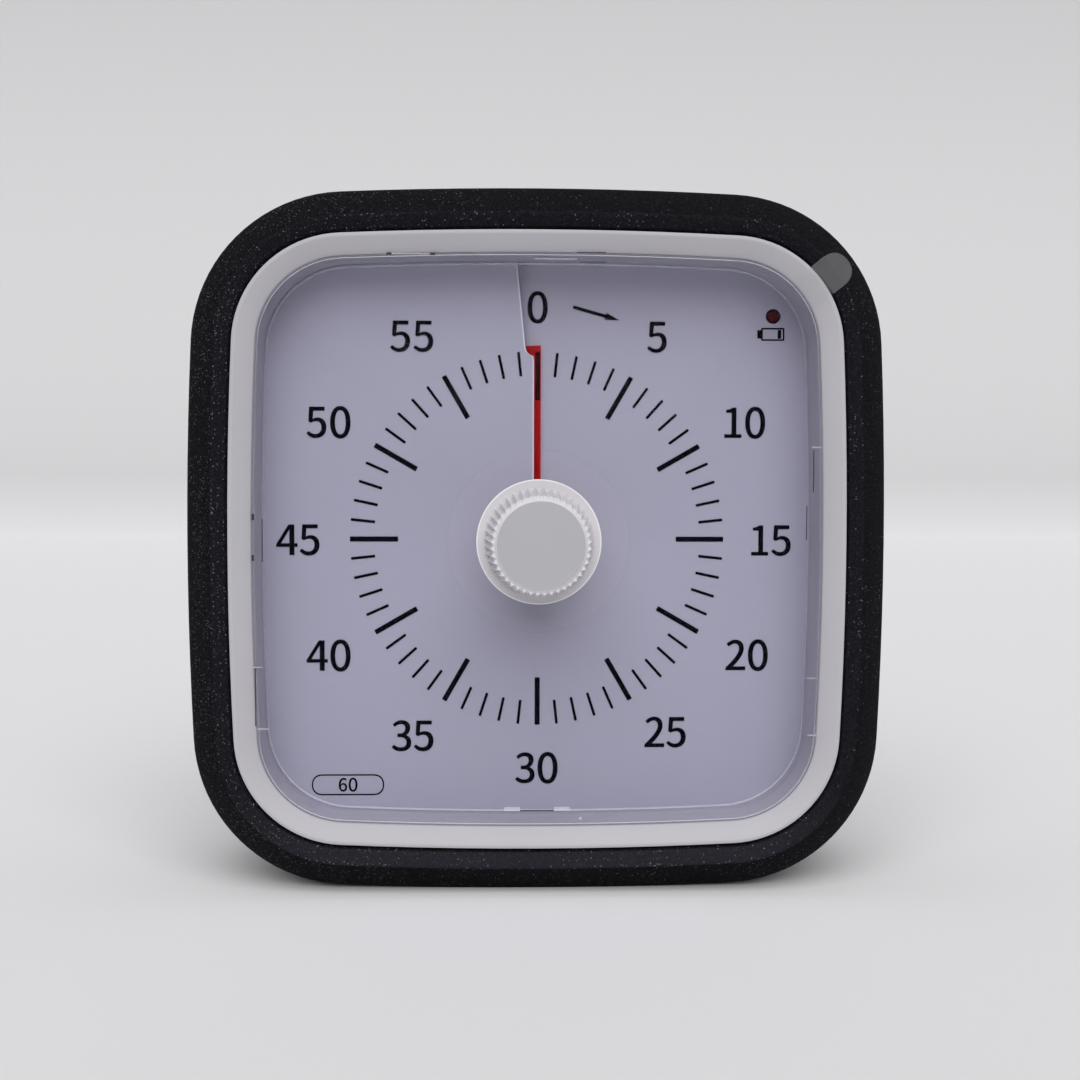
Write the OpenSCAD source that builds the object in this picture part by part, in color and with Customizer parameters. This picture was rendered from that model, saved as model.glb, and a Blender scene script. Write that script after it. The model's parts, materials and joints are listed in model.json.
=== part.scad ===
// Visual countdown timer: a 60 minute desk timer with a red disc that winds out of a slit
// in its dial, a clear cover, a white case and a black silicone sleeve.
// Millimetres. Inside the modules x points right, y up and z towards the viewer, with
// z = 0 at the dial's mean level; place() turns that into the part's frame
// (Z up, front towards -Y, origin on the table under the middle).

/* [Case outline] */
// Width of the sleeve across the middle
case_w = 92; // [84:1:100]
// Height of the sleeve across the middle, before its foot is cut flat
case_h = 92.8; // [84:0.4:100]
// Corner radius of the sleeve
corner_r = 20.5; // [17:0.5:24]
// Radius of the bowed sides
side_bow_r = 550; // [300:10:900]
// Depth of the flat cut that the sleeve stands on
base_cut = 0.35; // [0.2:0.05:0.6]

/* [Depths from the dial] */
// Front of the knob
knob_front_z = 21; // [18:0.5:24]
// Front of the white bezel
bezel_front_z = 9; // [8.8:0.1:9.6]
// Joint between the front and rear housings
split_z = -5; // [-6:0.1:-4.6]
// Back face of the rear housing
back_z = -19; // [-21:0.5:-18.5]

/* [Sleeve] */
// Thickness of the sleeve's side wall
sleeve_wall = 2.85; // [2:0.05:3.2]
// Width of the sleeve's front, from its side to the bezel
sleeve_front_w = 5.95; // [5.5:0.05:6.4]
// Width of the outer bevel on the sleeve's front
sleeve_bevel_w = 4.05; // [3:0.05:4.6]
// Depth of that bevel
sleeve_bevel_d = 4.4; // [3:0.1:6]
// Height of the sleeve's crest over the bezel
sleeve_crest = 1.2; // [0.8:0.1:1.6]
// Distance from the battery opening to the sleeve's back lip
sleeve_back_margin = 1.7; // [1.5:0.1:2.2]
// Thickness of that back lip
sleeve_back_t = 1.85; // [1.2:0.05:2.4]

/* [Housings] */
// Gap between the sleeve and the housing
sleeve_gap = 0.15; // [0.1:0.05:0.3]
// Thickness of the housing's outer wall
housing_wall = 1.8; // [1.4:0.1:2]
// Thickness of the rear housing's floor
floor_t = 1.8; // [1.4:0.1:2.2]
// Width of the sleeve and bezel together, from the side to the window
window_inset = 8.85; // [8.7:0.05:9.1]
// Thickness of the wall round the window
well_wall = 1.5; // [1.2:0.1:1.6]
// Radius of the screw bosses
boss_r = 2.7; // [2.5:0.1:2.8]
// Radius of the case screw's shank
case_screw_r = 1; // [0.8:0.1:1.1]

/* [Dial and red disc] */
// Rise of the dial's one-turn ramp, which is the step at its slit
dial_pitch = 1.4; // [1.3:0.1:1.6]
// Thickness of the dial plate
dial_t = 0.5; // [0.4:0.05:0.6]
// Radius of the red disc
disc_r = 26.1; // [24:0.1:27]
// Thickness of the red disc
disc_t = 0.3; // [0.2:0.05:0.35]
// How far the disc's edge shows past the centre line at zero
disc_lead = 0.47; // [0.2:0.01:1]
// Radius of the disc's hub
hub_r = 4.6; // [4.2:0.1:4.8]
// Clearance round pieces that drop into the window
drop_gap = 0.2; // [0.15:0.05:0.3]

/* [Clear cover and film] */
// Thickness of the clear cover
cover_t = 1.6; // [1.2:0.1:2]
// Depth of the cover's front below the bezel's front
cover_sink = 0.4; // [0.3:0.1:0.6]
// Thickness of the cover's skirt
skirt_t = 1.1; // [0.8:0.1:1.4]
// Depth of the cover's skirt below its plate
skirt_h = 5.2; // [4.6:0.1:5.4]
// Width of a cover clip
clip_w = 7; // [5:0.5:9]
// Thickness of the protective film
film_t = 0.12; // [0.08:0.02:0.2]
// Radius of the hole in the film round the knob
film_hole_r = 11.8; // [9:0.1:14]

/* [Knob] */
// Radius of the knob's flange
flange_r = 8.05; // [7:0.05:10]
// Thickness of the flange
flange_t = 1.1; // [0.8:0.1:1.6]
// Radius of the grip where it meets the flange
grip_base_r = 7.15; // [6:0.05:8]
// Radius of the grip at its front
grip_front_r = 6.25; // [5:0.05:7]
// Number of ridges round the grip
grip_ridges = 44; // [30:1:50]
// Radius of the shaft
shaft_r = 2.5; // [2.3:0.05:2.6]
// Radius of the knob's neck
neck_r = 4.4; // [4.2:0.05:4.6]

/* [Movement] */
// Module of the output wheel's teeth
m_out = 0.35; // [0.34:0.005:0.36]
// Module of the third wheel's teeth
m_third = 0.25; // [0.24:0.005:0.26]
// Module of the second wheel's teeth
m_second = 0.22; // [0.21:0.005:0.23]
// Radius of the wheels' arbors
arbor_r = 0.5; // [0.4:0.05:0.6]

/* [Power and electronics] */
// Length of an AAA cell
cell_len = 44.5; // [44:0.1:44.6]
// Radius of an AAA cell
cell_r = 5.25; // [5:0.05:5.3]
// Thickness of the circuit board
board_t = 1.6; // [1:0.1:1.6]
// Radius of the buzzer
buzzer_r = 9; // [7:0.5:9.5]
// Travel of the volume slider to each side
volume_travel = 2.5; // [2:0.1:2.6]
// Travel of the alarm slider
alarm_travel = 3; // [2:0.1:3.2]
// Radius of the low battery lamp
led_r = 0.92; // [0.7:0.01:1.2]

/* [Hidden] */
$fn = 48;

sleeve_back_z = back_z - sleeve_gap - sleeve_back_t;
centre_z = case_h / 2 - base_cut;
dial_y = (knob_front_z + sleeve_back_z) / 2;

side_segs = 6;
corner_segs = 9;

// housing
housing_inset = sleeve_wall + sleeve_gap;
cavity_inset = housing_inset + housing_wall;
shoulder_z = bezel_front_z - 1.5;
well_end_z = split_z + 2.8;
floor_z = back_z + floor_t;
corner_x = corner_cu();
corner_y = corner_cv();
boss_reach = corner_r - 7.3;
boss_at = [corner_x + boss_reach / sqrt(2), corner_y + boss_reach / sqrt(2)];
boss_hole_r = case_screw_r - 0.1;
post_r = boss_r + 0.1;
screw_seat_z = back_z + 9;
screw_head_r = 2;
mirrors = [[1, 1], [-1, 1], [1, -1], [-1, -1]];

// dial and disc
dial_hole_r = hub_r + 1;
tongue_deg = 3;
disc_overlap_deg = 3;
slit_side = 0.57;
slit_notch = 1.71;
slit_top = 3.0;
slit_bend_r = [24.6, 25.9];
slit_top_r = 38.35;
disc_edge_r = hub_r + 0.05;
ring_inner_r = disc_r + 1.9;
plate_inset = window_inset + drop_gap;
seat_gap = 0.05;
mid_t = 1.6;
mid_z = well_end_z - 0.2 - mid_t;
mid_top = mid_z + mid_t;
led_at = [corner_x + 7.1, corner_y + 4.9];

// cover
cover_z = bezel_front_z - cover_sink;
skirt_end_z = cover_z - cover_t - skirt_h;
cover_hole_r = neck_r + 0.8;
clip_z = 5;
clip_t = 1.5;
clip_reach = 0.6;
clips = [[0, -16.5], [0, 11], [90, 3], [90, -22], [180, -1], [270, 11], [270, -22]];
film_z = cover_z + 0.03;
film_inset = plate_inset + 0.35;
tab_angle = 39;
tab_start = step_to([corner_x, corner_y], 35, corner_r - film_inset - 1);

// knob and shaft
flange_z = bezel_front_z + 0.4;
grip_z = flange_z + flange_t;
neck_end_z = 3.4;
cap_h = 0.4;
shaft_flat = 1.9;
shaft_top_z = knob_front_z - 4;
run_gap = 0.06;
hub_z = -1.9;
hub_h = 3.4;

// movement
front_plate_z = mid_z - 1.6;
front_plate_t = 1;
back_plate_z = -15.2;
back_plate_t = 1;
gear_top_z = front_plate_z - 0.05;
out_t = 1.2;
collar_t = 0.5;
collar_r = 4;
out_z = gear_top_z - collar_t - 0.05 - out_t;
out_teeth = 60;
third_teeth = 60;
second_teeth = 50;
pinion_teeth = 10;
mesh_gap = 0.04;
out_dir = 20;
third_dir = -70;
second_dir = 0;
third_at = step_to([0, 0], out_dir, gear_space(m_out, out_teeth));
second_at = step_to(third_at, third_dir, gear_space(m_third, third_teeth));
rotor_at = step_to(second_at, second_dir, gear_space(m_second, second_teeth));
third_t = 0.8;
third_z = out_z - 1.4 - third_t;
second_t = 0.6;
second_z = third_z - 1.2 - second_t;
magnet_r = 1.6;
magnet_z = second_z - 2.2;
magnet_h = 1.5;
arbor_top_z = front_plate_z + front_plate_t;
pivot_r = 0.4;
plate_x = [-13.5, 33.2];
plate_y = [-11.3, 12.6];
pillar_at = [[-11, 10], [-11, -8.8], [31.2, 10.2], [31.2, -8.8]];
pillar_r = 1.7;
spigot_r = 1.5;
coil_x = 27.6;
coil_y = [-8.6, 7];
coil_r = 1.9;

// power
tray_top_y = -12.4;
cell_gap = 0.4;
cell_y = [tray_top_y - 0.2 - cell_r, tray_top_y - 0.2 - 3 * cell_r - cell_gap];
tray_low_y = cell_y[1] - cell_r - 0.3;
tray_wall = 0.9;
cell_z = floor_z + 0.35 + cell_r;
tray_x = cell_len / 2 + 2.6;
tray_z = floor_z + 0.1;
tray_ceiling = cell_z + cell_r + 0.3;
aperture_x = tray_x + 0.35;
aperture_y = [tray_low_y - 0.4, tray_top_y + 0.4];
door_gap = 0.2;
lug_r = 0.7;
lug_w = 6;
lug_x = 15;
lug_at = [aperture_y[0] - 0.3, back_z - 0.1];
sleeve_back_w = case_h / 2 + aperture_y[0] - sleeve_back_margin;

// electronics
board_z = -12;
board_x = [-30, 36];
board_y = [14, case_h / 2 - 15];
board_posts = [[board_x[0] + 2.5, board_y[0] + 3], [board_x[0] + 2.5, board_y[1] - 2.4],
    [board_x[1] - 3, board_y[0] + 3]];
buzzer_at = [-17, (board_y[0] + board_y[1]) / 2 + 1.8];
buzzer_h = 3.4;
switch_y = board_y[1] - 6.4;
volume_at = [6, switch_y];
alarm_at = [23, switch_y];
switch_size = [9, 4.4, 3.6];
slider_w = 3.6;
slider_h = 2.6;
slot_h = slider_h + 0.6;

// ---------- outline of the case: four bowed sides with round corners ----------

function bow_u() = case_w / 2 - side_bow_r;
function bow_v() = case_h / 2 - side_bow_r;
function corner_k() = bow_u() / bow_v();
function corner_m() = (pow(bow_v(), 2) - pow(bow_u(), 2)) / (2 * bow_v());
function corner_lin() = corner_m() * corner_k() - bow_u();
function corner_const() = pow(bow_u(), 2) + pow(corner_m(), 2) - pow(side_bow_r - corner_r, 2);
function corner_cu() = (-corner_lin() + sqrt(pow(corner_lin(), 2)
    - (1 + pow(corner_k(), 2)) * corner_const())) / (1 + pow(corner_k(), 2));
function corner_cv() = corner_m() + corner_k() * corner_cu();
// half the turn of a side's arc, for the left and right sides, then for the top and foot
function side_half() = atan2(corner_y, corner_x - bow_u());
function top_half() = atan2(corner_x, corner_y - bow_v());
function arc(c, r, from, to, n) =
    [for (i = [0:n - 1]) let (a = from + (to - from) * i / n) c + r * [cos(a), sin(a)]];

// counterclockwise ring of points, a distance inset inside the case's outline
function outline(inset) = let (
        s = side_half(), t = top_half(), big = side_bow_r - inset, small = corner_r - inset,
        u = corner_x, v = corner_y, a = bow_u(), b = bow_v())
    concat(
        arc([a, 0], big, -s, s, side_segs),
        arc([u, v], small, s, 90 - t, corner_segs),
        arc([0, b], big, 90 - t, 90 + t, side_segs),
        arc([-u, v], small, 90 + t, 180 - s, corner_segs),
        arc([-a, 0], big, 180 - s, 180 + s, side_segs),
        arc([-u, -v], small, 180 + s, 270 - t, corner_segs),
        arc([0, -b], big, 270 - t, 270 + t, side_segs),
        arc([u, -v], small, 270 + t, 360 - s, corner_segs));

// distance from the middle to the outline, at a clock angle (0 at the top, clockwise)
function edge_reach(clock, inset) = let (
        x = abs(sin(clock)), y = abs(cos(clock)), a = bow_u(), b = bow_v(),
        big = side_bow_r - inset, small = corner_r - inset,
        s = side_half(), t = top_half(),
        low = atan2(corner_y + small * sin(s), corner_x + small * cos(s)),
        high = atan2(corner_y + small * cos(t), corner_x + small * sin(t)),
        turn = atan2(y, x))
    turn < low ? a * x + sqrt(big * big - pow(a * y, 2))
    : turn > high ? b * y + sqrt(big * big - pow(b * x, 2))
    : corner_x * x + corner_y * y + sqrt(small * small - pow(corner_x * y - corner_y * x, 2));

// ---------- helpers ----------

module place() {
    translate([0, dial_y, centre_z]) rotate([90, 0, 0]) children();
}

// solid swept from a closed cross-section of [inset, z] points round the case's outline
module rim(section) {
    rings = [for (p = section) [for (q = outline(p[0])) [q[0], q[1], p[1]]]];
    n = len(rings[0]);
    m = len(section);
    polyhedron(
        points = [for (ring = rings) for (q = ring) q],
        faces = [for (i = [0:m - 1]) for (j = [0:n - 1]) let (k = (i + 1) % m, l = (j + 1) % n)
            for (f = [[i * n + j, k * n + j, k * n + l], [i * n + j, k * n + l, i * n + l]]) f]);
}

// solid with flat ends, through [inset, z] points from the front backwards
module tub(section) {
    n = len(outline(0));
    m = len(section);
    polyhedron(
        points = [for (p = section) for (q = outline(p[0])) [q[0], q[1], p[1]]],
        faces = concat(
            [[for (j = [0:n - 1]) n - 1 - j]],
            [for (i = [0:m - 2]) for (j = [0:n - 1]) let (l = (j + 1) % n)
                for (f = [[i * n + j, i * n + l, (i + 1) * n + l],
                    [i * n + j, (i + 1) * n + l, (i + 1) * n + j]]) f],
            [[for (j = [0:n - 1]) (m - 1) * n + j]]));
}

// flat plate with the case's outline
module slab(inset, low, high) {
    translate([0, 0, low]) linear_extrude(high - low) polygon(outline(inset));
}

module rod(at, r, low, high) {
    translate([at[0], at[1], low]) cylinder(r = r, h = high - low);
}

module block(x, y, z) {
    translate([x[0], y[0], z[0]]) cube([x[1] - x[0], y[1] - y[0], z[1] - z[0]]);
}

// plate that rises with the clock angle: columns of points, each a list of [r, clock],
// lie between lower and upper levels
module ramp(columns, lower, upper, level) {
    n = len(columns);
    m = len(columns[0]);
    function at(p, z) = [p[0] * sin(p[1]), p[0] * cos(p[1]), z];
    points = concat(
        [for (c = columns) for (p = c) at(p, upper + (level == 0 ? 0 : ramp_z(p[1])))],
        [for (c = columns) for (p = c) at(p, level == 2 ? lower : lower + ramp_z(p[1]))]);
    d = n * m;
    top = [for (i = [0:n - 2]) for (j = [0:m - 2]) let (a = i * m + j)
        for (f = [[a, a + 1, a + m + 1], [a, a + m + 1, a + m]]) f];
    foot = [for (f = top) [f[2] + d, f[1] + d, f[0] + d]];
    inner = [for (i = [0:n - 2]) let (a = i * m) for (f = [[a, a + m + d, a + d],
        [a, a + m, a + m + d]]) f];
    outer = [for (i = [0:n - 2]) let (a = i * m + m - 1) for (f = [[a, a + m + d, a + m],
        [a, a + d, a + m + d]]) f];
    first = [for (j = [0:m - 2]) for (f = [[j, j + 1 + d, j + 1], [j, j + d, j + 1 + d]]) f];
    last = [for (j = [0:m - 2]) let (a = (n - 1) * m + j) for (f = [[a, a + 1 + d, a + d],
        [a, a + 1, a + 1 + d]]) f];
    polyhedron(points, concat(top, foot, inner, outer, first, last));
}

// height of the dial's middle surface at a clock angle
function ramp_z(clock) = dial_pitch * (clock / 360 - 0.5);

// clock angle of the dial's upper edge at its slit, which steps left outside the ticks
function slit_x(r) = r < slit_bend_r[0] ? slit_side
    : r < slit_bend_r[1] ? let (f = (r - slit_bend_r[0]) / (slit_bend_r[1] - slit_bend_r[0]))
        slit_side + (slit_notch - slit_side) * (1 - cos(180 * f)) / 2
    : slit_notch + (slit_top - slit_notch) * (r - slit_bend_r[1]) / (slit_top_r - slit_bend_r[1]);
function slit_deg(r) = asin(slit_x(r) / r);

function step_to(from, dir, far) = from + far * [cos(dir), sin(dir)];
function gear_space(m, teeth) = m * (teeth + pinion_teeth) / 2 + mesh_gap;

// involute outline of a gear, with a tooth centred on +x
pressure = 25;
function inv(a) = tan(a) * 180 / PI - a;
function flank(base, r) = r <= base ? 0 : inv(acos(base / r));
function gear_points(m, teeth) = let (
        pitch_r = m * teeth / 2, base = pitch_r * cos(pressure),
        tip = pitch_r + 0.8 * m, root = pitch_r - 1.1 * m,
        half = 90 / teeth * 0.86 + inv(pressure),
        radii = [root, max(root + 0.02, base), (base + tip) / 2 + 0.1 * m, tip])
    [for (i = [0:teeth - 1]) let (c = 360 * i / teeth)
        for (side = [-1, 1]) for (k = [0:3]) let (
            r = radii[side < 0 ? k : 3 - k], a = c + side * (half - flank(base, r)))
        r * [cos(a), sin(a)]];
module gear(m, teeth, low, high, turn) {
    translate([0, 0, low]) linear_extrude(high - low) rotate(turn) polygon(gear_points(m, teeth));
}

// ---------- sleeve, housings, cover ----------

module silicone_sleeve() {
    crest_z = bezel_front_z + sleeve_crest;
    front_z = crest_z - 0.7;
    under_z = shoulder_z + sleeve_gap;
    lip_z = back_z - sleeve_gap;
    color("#26272b") place() difference() {
        rim([
            [sleeve_front_w, front_z], [sleeve_front_w, under_z], [sleeve_wall, under_z],
            [sleeve_wall, lip_z], [sleeve_back_w, lip_z], [sleeve_back_w, sleeve_back_z],
            [2.5, sleeve_back_z], [0, back_z + 1.5], [0, crest_z - sleeve_bevel_d],
            [sleeve_bevel_w, crest_z]]);
        block([-case_w, case_w], [-case_h, -case_h / 2 + base_cut], [back_z - 9, crest_z + 9]);
    }
}

module front_housing() {
    well_outer = window_inset - well_wall;
    lip = sleeve_front_w + sleeve_gap + 0.05;
    color("#e9e6e4") place() difference() {
        union() {
            rim([
                [lip, shoulder_z], [lip, bezel_front_z - 0.7], [lip + 0.7, bezel_front_z - 0.1],
                [lip + 1.4, bezel_front_z], [window_inset - 0.45, bezel_front_z - 0.2],
                [window_inset, bezel_front_z - 0.8], [window_inset, well_end_z],
                [well_outer, well_end_z], [well_outer, shoulder_z - 1.6],
                [cavity_inset, shoulder_z - 1.6], [cavity_inset, split_z],
                [housing_inset, split_z], [housing_inset, shoulder_z]]);
            for (m = mirrors) difference() {
                rod([m[0] * boss_at[0], m[1] * boss_at[1]], boss_r, split_z, shoulder_z - 1);
                slab(window_inset - 0.2, well_end_z - 9, bezel_front_z);
            }
            for (m = mirrors) rod([m[0] * boss_at[0], m[1] * boss_at[1]], boss_r, split_z,
                mid_top);
        }
        for (m = mirrors)
            rod([m[0] * boss_at[0], m[1] * boss_at[1]], boss_hole_r, split_z - 1, split_z + 6);
        for (c = clips) cover_clip(c, 0.3, window_inset - well_wall - 1);
    }
}

// box of one cover clip, grown by a clearance, from the skirt out to an inset
module cover_clip(c, grow, out_inset) {
    upright = c[0] == 0 || c[0] == 180;
    half = (upright ? case_h : case_w) / 2;
    far = half - out_inset;
    rotate(c[0]) block([c[1] - clip_w / 2 - grow, c[1] + clip_w / 2 + grow],
        [half - plate_inset - skirt_t / 2, far], [clip_z - grow, clip_z + clip_t + grow]);
}

module clear_cover() {
    color("#dfe6f0", 0.35) place() difference() {
        union() {
            slab(plate_inset, cover_z - cover_t, cover_z);
            difference() {
                slab(plate_inset, skirt_end_z, cover_z - cover_t / 2);
                slab(plate_inset + skirt_t, skirt_end_z - 1, cover_z);
            }
            for (c = clips) cover_clip(c, 0, plate_inset - clip_reach);
        }
        rod([0, 0], cover_hole_r, cover_z - cover_t - 1, cover_z + 1);
    }
}

module protective_film() {
    dir = [cos(tab_angle), sin(tab_angle)];
    side = [-dir[1], dir[0]];
    // distance along the tab, its half width there and its height
    stations = [[-1, 2.25, 0], [1, 2.25, 0], [1.5, 2.25, 0.25], [2.5, 2.25, 0.5],
        [3.6, 2.25, 0.98], [5, 2.25, 1.4], [5.9, 2.2, 1.72], [7, 1.85, 1.8], [7.6, 1.35, 1.8],
        [8, 0.7, 1.8]];
    n = len(stations);
    color("#cfd6de", 0.5) place() union() {
        difference() {
            slab(film_inset, film_z, film_z + film_t);
            rod([0, 0], film_hole_r, film_z - 1, film_z + 1);
        }
        polyhedron(
            points = [for (s = stations) for (e = [[-1, 0], [1, 0], [1, 1], [-1, 1]])
                let (p = tab_start + s[0] * dir + e[0] * s[1] * side)
                [p[0], p[1], film_z + s[2] + e[1] * film_t]],
            faces = concat([[0, 1, 2, 3]],
                [for (i = [0:n - 2]) for (k = [0:3]) let (a = 4 * i + k, b = 4 * i + (k + 1) % 4)
                    for (f = [[a, b + 4, b], [a, a + 4, b + 4]]) f],
                [[for (k = [0:3]) 4 * n - 1 - k]]));
    }
}

module rear_housing() {
    color("#e4e2e0") place() difference() {
        union() {
            difference() {
                tub([[housing_inset, split_z - 0.05], [housing_inset, back_z + 1.5],
                    [housing_inset + 1.5, back_z]]);
                slab(cavity_inset, floor_z, split_z + 1);
            }
            for (m = mirrors) rod([m[0] * boss_at[0], m[1] * boss_at[1]], post_r, back_z + 1,
                split_z - 0.1);
            for (p = board_posts) rod(p, 1.9, floor_z - 0.5, board_z);
            difference() {
                rod(buzzer_at, buzzer_r + 1.1, floor_z - 0.5, floor_z + 2);
                rod(buzzer_at, buzzer_r + 0.15, floor_z, floor_z + 3);
            }
        }
        for (m = mirrors) {
            rod([m[0] * boss_at[0], m[1] * boss_at[1]], case_screw_r + 0.2, back_z - 1, split_z);
            rod([m[0] * boss_at[0], m[1] * boss_at[1]], screw_head_r + 0.2, back_z - 1,
                screw_seat_z);
        }
        for (p = board_posts) rod(p, 0.7, board_z - 4, board_z + 1);
        rod(buzzer_at, 1, back_z - 1, floor_z + 1);
        for (i = [0:5]) rod(step_to(buzzer_at, 60 * i, 4), 1, back_z - 1, floor_z + 1);
        for (s = [[volume_at, 2 * volume_travel], [alarm_at, alarm_travel]])
            slider_slot(s[0], s[1]);
        block([-aperture_x, aperture_x], aperture_y, [back_z - 1, floor_z + 1]);
        for (s = [-1, 1]) block([s * lug_x - lug_w / 2 - 0.3, s * lug_x + lug_w / 2 + 0.3],
            [lug_at[0] - lug_r - 0.25, aperture_y[0] + 1],
            [back_z - 1, lug_at[1] + lug_r + 0.3]);
    }
}

module slider_slot(at, travel) {
    half = (slider_w + travel) / 2 + 0.4;
    block([at[0] - half, at[0] + half], [at[1] - slot_h / 2, at[1] + slot_h / 2],
        [back_z - 1, floor_z + 1]);
}

module case_screws() {
    color("silver") place() for (m = mirrors) difference() {
        union() {
            rod([m[0] * boss_at[0], m[1] * boss_at[1]], boss_hole_r, screw_seat_z - 1,
                split_z + 5);
            rod([m[0] * boss_at[0], m[1] * boss_at[1]], screw_head_r, screw_seat_z - 1.45,
                screw_seat_z - 0.05);
        }
        cross_slot([m[0] * boss_at[0], m[1] * boss_at[1]], screw_seat_z - 1.45, 1.2);
    }
}

module cross_slot(at, z, reach) {
    for (turn = [0, 90]) translate([at[0], at[1], z]) rotate(turn)
        cube([2 * reach, 0.45, 1.4], center = true);
}

// ---------- dial, red disc and knob ----------

module dial_plate() {
    bend = (slit_bend_r[0] + slit_bend_r[1]) / 2;
    radii = [dial_hole_r, slit_bend_r[0], bend - 0.25, bend + 0.25, slit_bend_r[1]];
    n = 60;
    columns = [for (i = [0:n]) let (f = i / n) concat(
        [for (r = radii) [r, -tongue_deg + f * (360 - slit_deg(r) + tongue_deg)]],
        [let (c = -tongue_deg + f * (360 - slit_deg(slit_top_r) + tongue_deg))
            [edge_reach(c, plate_inset), c]])];
    color("#c9cad6") place() difference() {
        ramp(columns, -dial_t / 2, dial_t / 2, 1);
        rod(led_at, led_r + 0.1, -3, 3);
    }
}

module dial_ring() {
    n = 70;
    columns = [for (i = [0:n]) let (c = 1 + 354 * i / n)
        [[ring_inner_r, c], [edge_reach(c, plate_inset), c]]];
    color("#dddbe0") place() difference() {
        ramp(columns, mid_top + seat_gap, -dial_t / 2 - seat_gap, 2);
        rod(led_at, led_r + 0.5, -6, 3);
    }
}

module red_disc() {
    radii = [disc_edge_r, 9, disc_r];
    n = 60;
    from = -360 - disc_overlap_deg;
    columns = [for (i = [0:n]) let (f = i / n)
        [for (r = radii) [r, from + f * (asin(disc_lead / r) - from)]]];
    color("#d01818", 0.9) place()
        ramp(columns, (dial_pitch - disc_t) / 2, (dial_pitch + disc_t) / 2, 1);
}

// shaft section with a flat, so that what slides on it turns with it
module keyed(r, flat, low, high) {
    intersection() {
        rod([0, 0], r, low, high);
        block([-r - 1, flat], [-r - 1, r + 1], [low, high]);
    }
}

module disc_hub() {
    color("#ededed") place() difference() {
        rod([0, 0], hub_r, hub_z, hub_z + hub_h);
        keyed(shaft_r + run_gap, shaft_flat + run_gap, hub_z - 1, hub_z + hub_h + 1);
    }
}

module knob_shaft() {
    color("#d7d7da") place() union() {
        keyed(shaft_r, shaft_flat, hub_z - 0.3, shaft_top_z);
        rod([0, 0], shaft_r, out_z - 1, hub_z - 0.2);
        rod([0, 0], collar_r, out_z + out_t + 0.05, gear_top_z);
        rod([0, 0], spigot_r, back_plate_z - 0.9, out_z - 0.9);
    }
}

module knob() {
    ridge_t = 0.45;
    n = grip_ridges;
    grip_h = knob_front_z - cap_h - grip_z;
    ring = [for (i = [0:2 * n - 1]) let (a = 180 * i / n)
        (grip_base_r - (i % 2) * ridge_t) * [cos(a), sin(a)]];
    color("#f4f3f2") place() difference() {
        union() {
            rotate_extrude($fn = 96) polygon([
                [0, grip_z - 0.6], [0, flange_z], [flange_r - 0.3, flange_z],
                [flange_r, flange_z + 0.3], [flange_r, grip_z - 0.3],
                [flange_r - 0.3, grip_z], [0, grip_z]]);
            rod([0, 0], neck_r, neck_end_z, flange_z + 0.2);
            translate([0, 0, grip_z - 0.2])
                linear_extrude(grip_h + 0.2, scale = grip_front_r / grip_base_r) polygon(ring);
            translate([0, 0, grip_z + grip_h - 0.1]) cylinder(r1 = grip_front_r - ridge_t,
                r2 = grip_front_r - ridge_t - cap_h, h = cap_h + 0.1, $fn = 96);
        }
        keyed(shaft_r + 0.02, shaft_flat + 0.02, neck_end_z - 1, shaft_top_z + 0.05);
    }
}

// ---------- movement ----------

module mid_plate() {
    color("#d4d4d8") place() difference() {
        slab(cavity_inset + 0.2, mid_z, mid_top);
        for (m = mirrors)
            rod([m[0] * boss_at[0], m[1] * boss_at[1]], boss_r + 0.3, mid_z - 1, mid_top + 1);
        rod([0, 0], shaft_r + run_gap, mid_z - 1, mid_top + 1);
        rod(led_at, led_r + 0.9, mid_z - 1, mid_top + 1);
        for (p = pillar_at) rod(p, 0.8, mid_z - 1, mid_top + 1);
    }
}

module movement_front_plate() {
    color("#b9bbc2") place() difference() {
        union() {
            block(plate_x, plate_y, [front_plate_z, front_plate_z + front_plate_t]);
            for (p = pillar_at) rod(p, pillar_r, front_plate_z + 0.5, mid_z - seat_gap);
        }
        rod([0, 0], shaft_r + run_gap, front_plate_z - 1, mid_z);
        for (p = pillar_at) rod(p, 0.8, front_plate_z - 1, mid_z);
        for (p = [third_at, second_at, rotor_at])
            rod(p, pivot_r + run_gap, front_plate_z - 1, arbor_top_z + 1);
    }
}

module movement_back_plate() {
    color("#b9bbc2") place() difference() {
        union() {
            block(plate_x, plate_y, [back_plate_z, back_plate_z + back_plate_t]);
            for (p = pillar_at)
                rod(p, pillar_r, back_plate_z + 0.5, front_plate_z - seat_gap);
        }
        rod([0, 0], spigot_r + run_gap, back_plate_z - 1, back_plate_z + 2);
        for (p = pillar_at) rod(p, 0.8, back_plate_z - 1, front_plate_z);
        for (p = [third_at, second_at, rotor_at])
            rod(p, pivot_r + run_gap, back_plate_z - 1, back_plate_z + 2);
    }
}

// arbor with thin pivots at both ends, running in the two plates
module arbor(at) {
    rod(at, arbor_r + 0.1, back_plate_z + back_plate_t + 0.1, front_plate_z - 0.1);
    rod(at, pivot_r, back_plate_z + 0.1, arbor_top_z - 0.1);
}

module output_wheel() {
    color("#e8e0c8") place() difference() {
        gear(m_out, out_teeth, out_z, out_z + out_t, out_dir);
        rod([0, 0], shaft_r + run_gap, out_z - 1, out_z + out_t + 1);
        for (i = [0:4]) rod(step_to([0, 0], 72 * i + 36, 7), 1.6, out_z - 1, out_z + out_t + 1);
    }
}

module clutch_washer() {
    color("#c8b070") place() difference() {
        rod([0, 0], 4.2, out_z - 0.5, out_z - 0.05);
        rod([0, 0], shaft_r + 0.02, out_z - 1, out_z);
        for (i = [0:2]) rod(step_to([0, 0], 120 * i + 30, 3.4), 0.4, out_z - 1, out_z);
    }
}

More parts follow.
